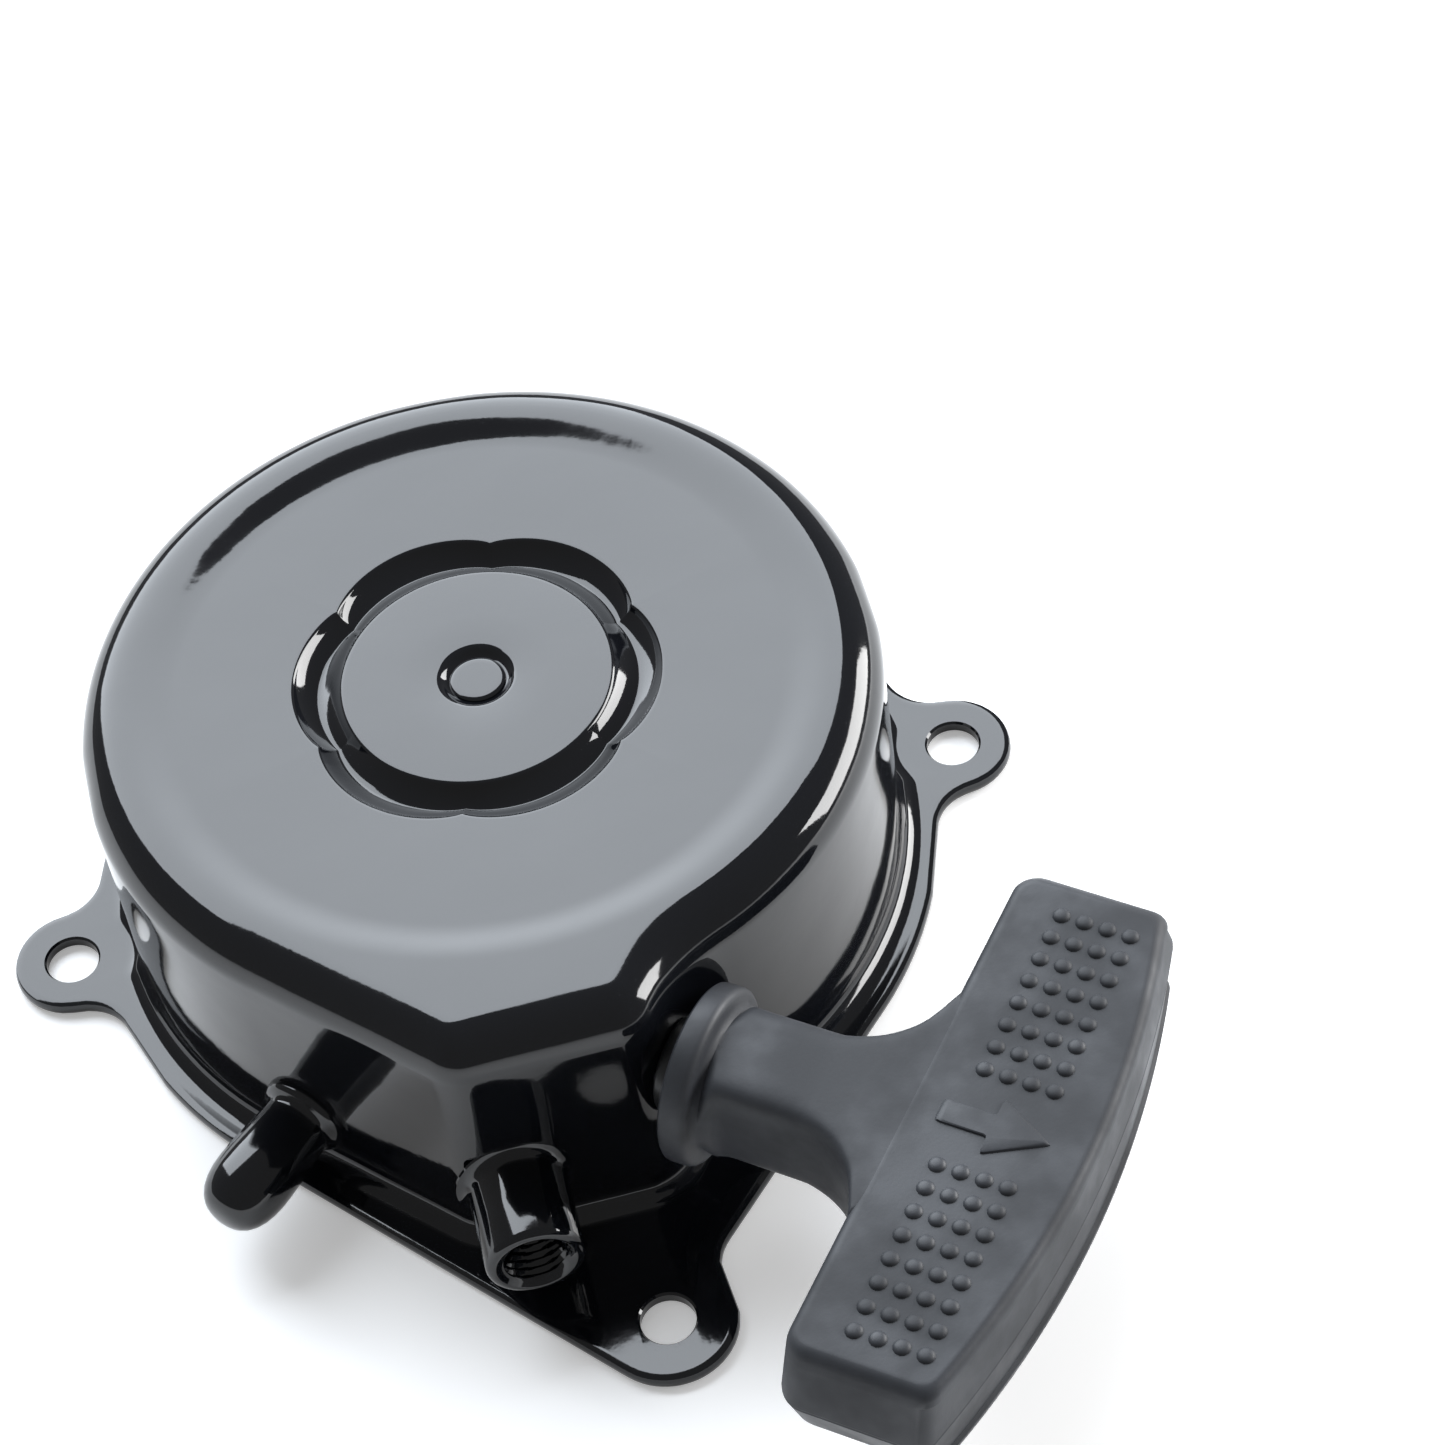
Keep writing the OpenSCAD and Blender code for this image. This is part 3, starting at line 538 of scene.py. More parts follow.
def enamel_finish(name, colours):
    """Black stoved enamel with a faint orange peel and a breath of dust."""
    paint = Finish(name)
    cloud = paint.noise(28, 2)
    dust = paint.noise(2600, 2).ramp(0.70, 0.80)
    paint.set(
        Base_Color=paint.mix(tuple(colours.enamel), (0.03, 0.032, 0.036), dust * 0.35),
        Roughness=cloud.ramp(0.35, 0.65, 0.045, 0.085) + dust * 0.15,
        Normal=paint.bump(cloud, 0.5, 0.0010, paint.bump(paint.noise(420, 2), 0.25, 0.00005)))
    paint.set(IOR=1.5)


def rubber_finish(name, colours):
    """Charcoal moulding: matte, cloudy from handling, with a fine eroded grain."""
    grip = Finish(name)
    cloud = grip.noise(34, 4, 0.6).ramp(0.34, 0.66)
    speck = grip.noise(1500, 3, 0.6)
    grip.set(
        Base_Color=grip.mix(tuple(colours.rubber), (0.040, 0.043, 0.050), cloud * 0.75 + speck * 0.15),
        Roughness=cloud.ramp(0, 1, 0.58, 0.42) + speck * 0.08,
        Normal=grip.bump(speck, 0.25, 0.00008))
    grip.set(IOR=1.42)


def nylon_finish(name, colours):
    """Black moulding with faint rings from the tool's turning."""
    mould = Finish(name)
    rings = (mould.axis_distance() * 9000).math("SINE")
    haze = mould.noise(60, 3)
    mould.set(
        Base_Color=mould.mix(tuple(colours.nylon), (0.030, 0.031, 0.033), haze.ramp(0.4, 0.7) * 0.6),
        Roughness=haze.ramp(0.3, 0.7, 0.30, 0.42),
        Normal=mould.bump(rings * 0.5 + mould.noise(900, 2), 0.12, 0.00004))


def metal_finish(name, tint, shade, rough, blotch=70, rings=0.0, brush=0.0, lines=(1, 1, 1)):
    """Bare or plated metal: blotches of tint and dulling, with turning rings or brush lines."""
    metal = Finish(name)
    patch = metal.noise(blotch, 3, 0.6).ramp(0.35, 0.68)
    scuff = metal.noise(700, 3, 0.65).ramp(0.55, 0.8)
    height = scuff * 0.4
    if rings:
        height = height + (metal.axis_distance() * rings).math("SINE") * 0.5
    if brush:
        height = height + metal.noise(brush, 2, 0.5, metal.place(lines)) * 0.8
    metal.set(
        Base_Color=metal.mix(tint, shade, patch * 0.8 + scuff * 0.2),
        Roughness=patch.ramp(0, 1, rough, rough + 0.14) + scuff * 0.12,
        Normal=metal.bump(height, 0.15, 0.00004))
    metal.set(Metallic=1.0)


def rope_finish(name, tint, shade, grain):
    """Twisted fibres: fine lines across the strands, with worn light and dark threads."""
    rope = Finish(name)
    along = rope.place((1, 1, 1), (0, 0, math.radians(-PULL_WALL + 35)))
    thread = rope.node("ShaderNodeTexWave", {"wave_type": "BANDS", "bands_direction": "X"}, {
        "Vector": along, "Scale": grain, "Distortion": 2.0, "Detail": 2.0, "Detail Scale": 3.0})
    fleck = rope.noise(1200, 2)
    rope.set(
        Base_Color=rope.mix(tint, shade, thread * 0.6 + fleck * 0.35),
        Roughness=fleck.ramp(0.3, 0.7, 0.72, 0.9),
        Normal=rope.bump(thread, 0.5, 0.00025))


def floor_finish(name):
    """A pale seamless floor, lit a little from within so that it reads as white."""
    floor = Finish(name)
    haze = floor.noise(3, 2)
    floor.set(
        Base_Color=floor.mix((0.90, 0.90, 0.90), (0.94, 0.94, 0.94), haze),
        Roughness=0.9, Emission_Color=(1.0, 1.0, 1.0, 1.0), Emission_Strength=0.30)
    floor.set(IOR=1.3)
    back = floor.nodes.new("ShaderNodeNewGeometry").outputs["Backfacing"]
    clear_side = floor.nodes.new("ShaderNodeBsdfTransparent").outputs[0]
    blend = floor.node("ShaderNodeMixShader", {}, {0: Value(floor, back)})
    floor.links.new(floor.shader.outputs[0], blend.socket.node.inputs[1])
    floor.links.new(clear_side, blend.socket.node.inputs[2])
    floor.links.new(blend.socket, floor.output.inputs[0])


# ------------------------------------------------------------------ the housing's rings


def nose_outline(inset):
    r = max(9 - inset, 1)
    left = 70 - inset - r
    first = crossing(LEFT_WALL, left, -90, FRONT_DIST - inset - r)
    second = crossing(-90, FRONT_DIST - inset - r, PULL_WALL, OUTLET_DIST - inset - r)
    return ([Vector((0, 0)), (70 - inset) * unit(LEFT_WALL)] + arc(first, r, LEFT_WALL, -90, 12)
            + arc(second, r, -90, PULL_WALL, 12) + [(OUTLET_DIST - inset) * unit(PULL_WALL)])


def wall_reach(inset, dent=1.0):
    """The wall's outline in plan: the round cup, its flat nose and the dents beside three ears.

    The dents fade out over the roof's rounding, as their share goes from one to nothing.
    """
    outer = np.full(STATIONS, 70.0 - inset)
    nose = reach(nose_outline(inset))
    blended = soft_max(outer, nose, 5.0)
    outer = np.where((BEARINGS > -90) & (BEARINGS < 0), blended, np.maximum(outer, nose))
    dented = outer
    for hole in (SIDE_HOLE, -SIDE_HOLE, REAR_HOLE):
        dented = soft_min(dented, circle_side(hole, 13.8 + inset, False), 1.2)
    return outer + (dented - outer) * dent


def ear_edge(at, dist):
    out = FLANGE_R + 9
    a = math.degrees(math.acos((out**2 + dist**2 - 19.5**2) / (2 * out * dist)))
    v = dist * unit(0) - out * unit(-a)
    b = bearing(v)
    return (arc(out * unit(at - a), 9, at + 180 - a, at + b)
            + arc(dist * unit(at), 10.5, at + b - 180, at + 180 - b, 20)
            + arc(out * unit(at + a), 9, at - b, at + a - 180))


def corner_edge():
    edge = PULL_WALL - 6
    out = FLANGE_R + 9
    rise = out - CORNER_HOLE.dot(unit(edge))
    run = math.sqrt(21**2 - rise**2)
    f = out * unit(edge) + (CORNER_HOLE.dot(unit(edge + 90)) + run) * unit(edge + 90)
    side = bearing(CORNER_HOLE) - math.degrees(math.acos((FLANGE_R - 12) / CORNER_HOLE.length))
    b = bearing(f - CORNER_HOLE)
    return side, arc(CORNER_HOLE, 12, side, b, 24) + arc(f, 9, b + 180, edge + 180)


def flange_outline():
    rear = bearing(REAR_HOLE)
    side, corner = corner_edge()
    return (ear_edge(0, 82) + arc((0, 0), FLANGE_R, 24, rear - 24, 30) + ear_edge(rear, REAR_HOLE.length)
            + arc((0, 0), FLANGE_R, rear + 24, 156, 30) + ear_edge(180, 82)
            + arc((0, 0), FLANGE_R, 204, side + 360, 16) + corner
            + arc((0, 0), FLANGE_R, PULL_WALL - 6, -24, 12))


def housing_rings(cup):
    """Rings from the rivet's hole out over the roof, down the wall, round the flange and back inside."""
    top = cup.height / MM
    panel = top - cup.panel_drop / MM
    sheet = cup.sheet / MM
    edge = cup.edge / MM
    fillet = cup.fillet / MM
    depth = cup.groove_depth / MM
    rings = []

    def ring(radius, z):
        radius = np.broadcast_to(np.asarray(radius, float), (STATIONS,))
        rings.append([(r * x, r * y, z) for r, (x, y) in zip(radius, RAYS)])

    for radius, drop in ((4.85, 1.3), (5.1, 1.25), (5.5, 1.05), (5.9, 0.7), (6.3, 0.35), (6.7, 0.12),
                         (7.2, 0.0), (14, 0)):
        ring(radius, panel - drop)
    groove_in = 23.7
    groove_out = 29.9 + 2.3 * np.abs(np.sin(np.radians(3 * (BEARINGS - 14)))) ** 0.7
    half = (groove_out - groove_in) / 2
    lip = ((-0.7, 0), (-0.25, 0.03), (0, 0.12))
    walls = ((0.06, 0.4), (0.15, 0.85), (0.3, 1.35), (0.52, 1.95), (0.78, 2.4), (0.97, 2.7))
    for run, drop in lip:
        ring(groove_in + run, panel - drop * depth / 2.7)
    for share, drop in walls:
        ring(groove_in + share * half, panel - drop * depth / 2.7)
    for share, drop in reversed(walls):
        ring(groove_out - share * half, panel - drop * depth / 2.7)
    for run, drop in reversed(lip):
        ring(groove_out - run, panel - drop * depth / 2.7)
    brow = wall_reach(edge, 0)
    for k in range(15):
        t = k / 14
        ring(np.minimum(53.0 + 8.7 * t, brow - 0.3), panel + (top - panel) * t * t * (3 - 2 * t))
    for k in range(17):
        a = math.radians(90 * k / 16)
        ring(wall_reach(edge * (1 - math.sin(a)), 0.15 * math.sin(a) ** 3), top - edge + edge * math.cos(a))
    for z, dent in ((42, 0.35), (34, 0.75), (26, 1), (9, 1)):
        ring(wall_reach(0, dent), z)
    for k in range(9):
        b = math.radians(90 * k / 8)
        ring(wall_reach(-fillet * (1 - math.cos(b))), sheet + fillet - fillet * math.sin(b))
    rim = reach(flange_outline())
    outline = RAYS * rim[:, None]
    normal = outward(outline)
    for inset, z in ((1.6, sheet), (0.9, sheet), (0.25, sheet - 0.22), (0, sheet - 0.8), (0, 0.8), (0.25, 0.22),
                     (0.9, 0)):
        rings.append([(x, y, z) for x, y in outline - normal * inset])
    inner = fillet + sheet
    for k in range(8):
        c = math.radians(90 * k / 7)
        ring(wall_reach(-fillet + inner * math.sin(c)), inner - inner * math.cos(c))
    for z in (30, top - edge):
        ring(wall_reach(sheet), z)
    for k in range(1, 7):
        e = math.radians(15 * k)
        r = edge - sheet
        ring(wall_reach(sheet + r * (1 - math.cos(e)), math.cos(e) ** 3), top - edge + r * math.sin(e))
    under = panel - sheet
    ring(np.minimum(61.5, brow - 0.4), top - sheet)
    ring(np.minimum(57.5, brow - 3.0), under)
    for step, z in ((2.2, 0), (1.2, -0.8), (-0.4, -2.4)):
        ring(groove_out + step, under + z)
    for radius, z in ((24.3, -2.4), (22.4, -0.8), (21.4, 0), (8, 0), (4.85, 0)):
        ring(radius, under + z)
    return rings


# ------------------------------------------------------------------ operators


class STARTER_OT_finishes(bpy.types.Operator):
    """Mix the paints, metals, mouldings and rope finishes"""
    bl_idname = "starter.finishes"
    bl_label = "Finishes"
    bl_options = {"REGISTER", "UNDO"}

    def execute(self, context):
        scene = context.scene
        tints = scene.starter_colours
        steel, zinc = tuple(tints.steel), tuple(tints.zinc)
        enamel_finish("black enamel", tints)
        rubber_finish("grip moulding", tints)
        nylon_finish("black nylon", tints)
        metal_finish("turned steel", steel, (0.50, 0.47, 0.42), 0.20, rings=6000)
        metal_finish("zinc plate", zinc, (0.42, 0.47, 0.56), 0.24, blotch=120)
        metal_finish("spring steel", (0.42, 0.41, 0.40), (0.28, 0.27, 0.27), 0.26, brush=300, lines=(1, 1, 6))
        metal_finish("black steel", (0.10, 0.10, 0.11), (0.05, 0.05, 0.055), 0.30, blotch=160)
        metal_finish("bronze", (0.55, 0.36, 0.17), (0.40, 0.24, 0.11), 0.34, blotch=200)
        rope_finish("grey rope", tuple(tints.rope), (0.12, 0.12, 0.12), 260)
        rope_finish("rope end", tuple(tints.knot), (0.55, 0.48, 0.30), 180)
        floor_finish("pale floor")
        return {"FINISHED"}


class STARTER_OT_housing(bpy.types.Operator):
    """Press the cup with its nose, flange, lobed groove and punched holes"""
    bl_idname = "starter.housing"
    bl_label = "Housing"
    bl_options = {"REGISTER", "UNDO"}

    def execute(self, context):
        scene = context.scene
        cup = scene.starter_cup
        housing = loft(housing_rings(cup), closed=True)
        hole = cup.hole_radius / MM
        tools = []
        for at in (SIDE_HOLE, -SIDE_HOLE, REAR_HOLE, CORNER_HOLE):
            profile = ((hole + 0.9, -0.6), (hole, 0.35), (hole, 2.1), (hole + 0.9, 3.1))
            tools.append(turned(profile, Matrix.Translation((at.x, at.y, 0)), 64))
        outlet = rope_point(OUTLET_DIST, ROPE_Z)
        pull = unit(PULL_WALL)
        tools.append(turned(((5.6, -6), (5.6, 6)), axis_frame(outlet, (pull.x, pull.y, 0)), 64))
        tools.append(turned(((6.3, -5), (6.3, 4)), axis_frame((-14, -FRONT_DIST, 16), (0, -1, 0)), 64))
        tools.append(turned(((3.2, -5), (3.2, 6)), bolt_frame(), 48))
        combine(housing, join(tools))
        settle(housing, "cup_pressing", "housing", "black enamel",
               ("housing_roof", "housing_wall", "housing_flange"), crease=40)
        return {"FINISHED"}


def rope_point(along, z, aside=0.0):
    """A point beside the rope's line: its run along the pull, its height, and a step aside."""
    p = float(along) * unit(PULL_WALL) + float(aside - ROPE_OFF) * unit(PULL_WALL + 90)
    return Vector((p.x, p.y, z))


def bolt_frame():
    n, s = unit(LEFT_WALL), unit(LEFT_WALL + 90)
    at = 67.3 * n + 6 * s
    return axis_frame((at.x, at.y, 13), (n.x, n.y, 0))


class STARTER_OT_shaft(bpy.types.Operator):
    """Turn the shaft, and the painted rivet head that holds it to the roof"""
    bl_idname = "starter.shaft"
    bl_label = "Shaft"
    bl_options = {"REGISTER", "UNDO"}

    def execute(self, context):
        shaft = turned((
            (0.3, 3.9), (2.0, 2.8), (6.0, 2.8), (6.4, 2.95), (7, 3.6), (7, 7.55), (6.9, 7.7), (6.2, 7.7),
            (6.2, 8.7), (6.9, 8.7),
            (7, 8.85), (7, 49.7), (6.7, 49.95), (4.0, 49.95), (4.0, 50.8), (3.0, 51.0)), steps=96)
        settle(shaft, "shaft_turned", "housing", "turned steel", ("shaft",))
        head = turned((
            (4.0, 50.6), (4.8, 50.8), (4.95, 51.1), (4.85, 51.4), (4.55, 51.6), (4.1, 51.68), (3.4, 51.7),
            (0.4, 51.7)), steps=72)
        settle(head, "rivet_head", "housing", "black enamel")
        return {"FINISHED"}


class STARTER_OT_cable_boss(bpy.types.Operator):
    """Turn the boss for the lockout cable, threaded inside"""
    bl_idname = "starter.cable_boss"
    bl_label = "Cable boss"
    bl_options = {"REGISTER", "UNDO"}

    def execute(self, context):
        steps = 64
        place = axis_frame((-14, -FRONT_DIST, 16), (0, -1, 0))
        outside = ((6.15, -2.4), (6.15, -0.4), (10.4, -0.4), (10.3, 0.05), (9.6, 0.3), (9.0, 0.8), (8.65, 1.5),
                   (8.5, 2.4), (8.5, 9),
                   (8.5, 15.6), (8.42, 16.1), (8.15, 16.6), (7.75, 16.9), (7.3, 17.0), (6.95, 17.0),
                   (6.75, 16.9), (6.1, 16.3))
        rings = []
        for r, h in outside:
            rings.append([place @ Vector((r * p.x, r * p.y, h))
                          for p in (unit(360 * i / steps) for i in range(steps))])
        pitch, turns = 1.5, 11.5
        for k in range(int(turns * 8)):
            h = 16.1 - k * pitch / 8
            ring = []
            for i in range(steps):
                phase = (h / pitch + i / steps) % 1.0
                r = 5.45 + 0.6 * (1 - abs(2 * phase - 1))
                p = unit(360 * i / steps)
                ring.append(place @ Vector((r * p.x, r * p.y, h)))
            rings.append(ring)
        settle(loft(rings, closed=True), "cable_boss_threaded", "housing", "black enamel",
               ("cable_boss",))
        return {"FINISHED"}


class STARTER_OT_stud_cap(bpy.types.Operator):
    """Turn the long domed cap on the bracket's bolt, thick with enamel"""
    bl_idname = "starter.stud_cap"
    bl_label = "Stud cap"
    bl_options = {"REGISTER", "UNDO"}

    def execute(self, context):
        cap = turned((
            (7.0, 2.4), (8.0, 2.6), (8.1, 3.2), (7.9, 3.9), (7.4, 4.35), (6.8, 4.6), (6.45, 5.0), (6.3, 5.8),
            (6.35, 7.5), (6.6, 10),
            (6.85, 13), (7.0, 16), (7.02, 18.5), (6.85, 20.6), (6.45, 22.5), (5.8, 24.1), (4.9, 25.4),
            (3.8, 26.3), (2.5, 26.8),
            (1.2, 26.97), (0.3, 27.0)), bolt_frame(), 72)
        settle(cap, "stud_cap_domed", "housing", "black enamel", ("stud_cap",), crease=60)
        return {"FINISHED"}


class STARTER_OT_plain_metal(bpy.types.Operator):
    """Break the edges of the pressed, cut and bent metal pieces"""
    bl_idname = "starter.plain_metal"
    bl_label = "Bracket, lever, bolt, clips and washers"
    bl_options = {"REGISTER", "UNDO"}

    def execute(self, context):
        for node, width, body, slot, finish in (
                ("bracket", 0.3, "housing", "zinc_plate", "zinc plate"),
                ("clamp_plate", 0.25, "housing", "zinc_plate", "zinc plate"),
                ("leaf_spring", 0.12, "housing", "spring_steel", "spring steel"),
                ("bracket_bolt", 0.35, "housing", "zinc_plate", "zinc plate"),
                ("bolt_washer", 0.15, "housing", "zinc_plate", "zinc plate"),
                ("lever_pin", 0.2, "housing", "zinc_plate", "zinc plate"),
                ("thrust_washer", 0.2, "housing", "turned_steel", "turned steel"),
                ("circlip", 0.15, "housing", "black_steel", "black steel"),
                ("rope_guide", 0.5, "housing", "black_nylon", "black nylon"),
                ("lockout_lever", 0.25, "lockout_lever", "zinc_plate", "zinc plate"),
                ("cable_hook", 0.2, "lockout_lever", "zinc_plate", "zinc plate"),
                ("pawl", 0.35, "pawl", "zinc_plate", "zinc plate")):
            softened(node, width, node + "_finished", body, finish)
        return {"FINISHED"}


class STARTER_OT_reel(bpy.types.Operator):
    """Ease the edges of the reel moulding"""
    bl_idname = "starter.reel"
    bl_label = "Reel"
    bl_options = {"REGISTER", "UNDO"}

    def execute(self, context):
        softened("reel", 0.4, "reel_finished", "reel", "black nylon")
        return {"FINISHED"}


class STARTER_OT_friction_clip(bpy.types.Operator):
    """Bend the wire clip that grips the hub and throws the pawl"""
    bl_idname = "starter.friction_clip"
    bl_label = "Friction clip"
    bl_options = {"REGISTER", "UNDO"}

    def execute(self, context):
        over, high, finger, peg = 10.6, 14.6, 28.632, 50
        a0, a1 = -17.528, 46 + 360

        def at(dist, angle, z):
            p = dist * unit(angle)
            return Vector((p.x, p.y, z))

        path = [at(finger, a0, 6), at(finger, a0, high), at(19, a0, high)]
        path += [at(17, a0 + 8 + (a1 - a0 - 14) * i / 60,
                    high + (over - high) * max(0, i - 54) / 6) for i in range(61)]
        path += [at(19, a1 - 1, over), at(32.3, a1, over), at(34.3, a1, 15.9), at(peg, a1, 15.9), at(peg, a1, 4)]
        wire = loft(tube_rings(smooth_path(path, 0.6, 1.6), Section(0.9, 14)))
        settle(wire, "friction_clip_wire", "friction_clip", "black steel", ("friction_clip",),
               crease=50)
        return {"FINISHED"}


def knot_path(centre, size):
    """An overhand knot's closed run."""
    out = []
    for k in range(72):
        t = 2 * math.pi * k / 72
        out.append(Vector(centre) + size * Vector((
            math.sin(t) + 2 * math.sin(2 * t), math.cos(t) - 2 * math.cos(2 * t), -1.1 * math.sin(3 * t))))
    return out


def strands(radius, depth, count, pitch, step):
    """A section of twisted strands; pitch and step are in millimetres along the rope."""
    def at(i, angle):
        return radius - depth * (1 - abs(math.cos(count / 2 * (angle - 2 * math.pi * i * step / pitch))))
    return at


class STARTER_OT_rope(bpy.types.Operator):
    """Lay the rope from the reel to the grip, and tie the knot in the reel"""
    bl_idname = "starter.rope"
    bl_label = "Rope and knot"
    bl_options = {"REGISTER", "UNDO"}

    def execute(self, context):
        step = 0.55
        path = [rope_point(0.1 + step * k, ROPE_Z) for k in range(int(61.6 / step) + 1)]
        lead = loft(tube_rings(path, Section(strands(ROPE_R, 0.35, 6, 15, step), 36)))
        settle(lead, "rope_lead_laid", "housing", "grey rope", ("rope_lead",), crease=60)
        lead.parent = None
        start, end = (rope_point(u, ROPE_Z) * MM for u in (20, 61.5))
        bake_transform(lead)

        run = []
        for k in range(400):
            t = 5.5 * 360 * k / 399
            level = abs(((t / 360 * 0.75) % 2.0) - 1.0)
            p = (39.2 + 3.6 * k / 399) * unit(t - 120)
            run.append((p.x, p.y, 27.0 + 8.0 * level))
        coil = loft(tube_rings(run, Section(strands(2.5, 0.3, 6, 15, 3.6), 18)))
        settle(coil, "rope_coil_wound", "reel", "grey rope", ("rope_coil",), crease=60)

        centre = 24.1 * unit(78)
        knot = loft(tube_rings(knot_path((centre.x, centre.y, 20.0), 1.15),
                               Section(strands(2.0, 0.2, 5, 9, 0.5), 16), True), True)
        rise = [Vector((centre.x, centre.y, 20)), Vector((centre.x, centre.y, 31))]
        far = 37 * unit(78)
        rise.append(Vector((far.x, far.y, 31)))
        tail = loft(tube_rings(smooth_path(rise, 0.5, 4), Section(strands(2.3, 0.25, 6, 15, 0.5), 16)))
        settle(join([knot, tail]), "rope_knot_tied", "reel", "rope end", ("rope_knot",), crease=60)
        return {"FINISHED"}


class STARTER_OT_grip(bpy.types.Operator):
    """Mould the T-shaped grip with its collar, parting line, pips and arrow"""
    bl_idname = "starter.grip"
    bl_label = "Grip"
    bl_options = {"REGISTER", "UNDO"}

    def execute(self, context):
        scene = context.scene
        sizes = scene.starter_grip
        half = sizes.bar_length / MM / 2
        height = sizes.half_height / MM
        bar = loft(self.bar_rings(half, height))
        stem = loft(self.stem_rings(sizes.stem_width / MM / 2, height - 0.55, sizes.collar_radius / MM))
        relief = [bar, stem]
        pip = self.pip(sizes.pip_radius / MM, height)
        for sign in (-1, 1):
            for row in range(8):
                for column in range(4):
                    relief.append(self.pip_at(pip, 110.6 + 4.05 * column, sign * (9.8 + 4.68 * row)))
        bpy.data.objects.remove(pip)
        relief.append(self.arrow(height))
        grip = join(relief)
        settle(grip, "grip_moulding", "handle", "grip moulding", ("grip", "grip_cap"), crease=32)
        return {"FINISHED"}

    def spot(self, u, v, w):
        return rope_point(u, GRIP_Z + w, v)

    def bar_plan(self, half, step, rim):
        """The bar in plan, drawn in by a step all round and by a further rim on its bowed face."""
        near, far, bow = 100.0 + step, 127.0, 7.0
        radius = (half**2 + bow**2) / (2 * bow)
        end, corner, tip = half - step, max(5.2 - step, 1.5), 2.6

        def face(v):
            return Vector((far + bow - radius + math.sqrt(radius**2 - v**2) - step - rim, v))

        side = []
        for k in range(9):
            side.append(Vector((near + 14 + (face(end).x - tip - near - 14) * k / 8, -end)))
        start, turn, finish = side[-1], Vector((face(end).x, -end)), face(-end + tip)
        for k in range(1, 8):
            t = k / 8
            side.append((1 - t) ** 2 * start + 2 * t * (1 - t) * turn + t * t * finish)
        side += [face(-(end - tip) * (1 - k / 30)) for k in range(31)]
        inner = arc((near + corner, -end + corner), corner, 180, 270, 8)
        lower = [Vector((near, -(end - corner) * k / 14)) for k in range(1, 14)] + inner + side
        upper = [Vector((p.x, -p.y)) for p in lower[:-1]]
        return lower + upper[::-1] + [Vector((near, 0))]

    def bar_rings(self, half, height):
        edge = 1.7
        levels = [(-height, edge + 0.25), (-height, edge - 0.2)]
        levels += [(-height + edge * (1 - math.cos(math.radians(a))), edge * (1 - math.sin(math.radians(a))))
                   for a in (15, 30, 45, 60, 75, 90)]
        levels += [(-8.6, 0), (-8.3, 0), (-0.35, 0), (-0.12, 0.16)]
        levels += [(-w, inset) for w, inset in reversed(levels)]
        rings = []
        for w, inset in levels:
            draft = abs(w) / height
            rim = 0.7 if abs(w) < 8.4 else 0.0
            shrink = 1 - 0.062 * draft**1.5
            plan = self.bar_plan(half, inset + 0.75 * draft, rim)
            rings.append([self.spot(p.x, p.y * shrink, w) for p in plan])
            if abs(w) == height and inset > edge:
                cap = [[self.spot(114 + (p.x - 114) * share, p.y * shrink * share, w) for p in plan]
                       for share in (0.08, 0.3, 0.55, 0.8)]
                rings = cap + rings if w < 0 else rings + cap[::-1]
        return rings

    def stem_rings(self, width, height, collar):
        def ring(u, wide, tall, square, shift=0.0):
            out = []
            for k in range(96):
                c, s = math.cos(2 * math.pi * k / 96), math.sin(2 * math.pi * k / 96)
                power = 2.0 / square
                v = wide * math.copysign(abs(c) ** power, c)
                w = tall * math.copysign(abs(s) ** power, s)
                out.append(self.spot(u, v, w + shift))
            return out
        rings = []
        low = ROPE_Z - GRIP_Z
        for u, r in ((62.15, collar - 1.1), (62.3, collar - 0.5), (62.7, collar - 0.1), (63.3, collar),
                     (65.6, collar), (66.3, collar - 0.15),
                     (66.8, collar - 0.6), (67.05, collar - 1.2), (67.2, collar - 2.0), (67.5, collar - 2.9),
                     (68.1, collar - 3.4)):
            rings.append(ring(u, r, r, 2.0, low))
        for u, share in ((68.8, 0.2), (69.6, 0.5), (70.4, 0.78), (71.4, 0.95), (72.5, 1.0)):
            neck = collar - 3.5
            rings.append(ring(u, neck + (width - neck) * share, neck + (height - neck) * share, 2 + 3.2 * share,
                              low * (1 - share)))
        rings.append(ring(84, width, height, 5.4))
        for k in range(13):
            u = 86 + 1.1 * k
            flare = 14 - math.sqrt(max(196 - (u - 86) ** 2, 0))
            rings.append(ring(u, width + flare, height + 0.5 * min(1, k / 8), 5.6 + 0.7 * k))
        for u, narrow in ((101.0, 0.0), (103.0, 2.0), (106.0, 6.0)):
            rings.append(ring(u, width + 14 - narrow, height + 0.5, 14))
        return rings

    def pip(self, radius, height):
        rings = []
        for share, rise in ((1.12, -0.3), (1.0, 0.0), (0.9, 0.28), (0.68, 0.52), (0.36, 0.66)):
            rings.append([(radius * share * math.cos(math.pi * k / 6),
                           radius * share * math.sin(math.pi * k / 6), height + rise)
                          for k in range(12)])
        top = loft(rings)
        under = loft([[(x, -y, -z) for x, y, z in ring] for ring in rings])
        return join([top, under])

    def pip_at(self, pip, u, v):
        return copied(pip, self.spot(u, v, 0))

    def arrow(self, height):
        plan = eased([Vector(p) for p in ((107, -2.2), (116, -2.2), (116, -5.6), (126, 0), (116, 5.6),
                                          (116, 2.2), (107, 2.2))], 0.7, 2)
        rings = []
        for w, grow in ((-0.3, 1.05), (0.0, 1.03), (0.35, 0.98), (0.5, 0.9)):
            rings.append([self.spot(116 + (p.x - 116) * grow, p.y * grow, height + w) for p in plan])
        return loft(rings)


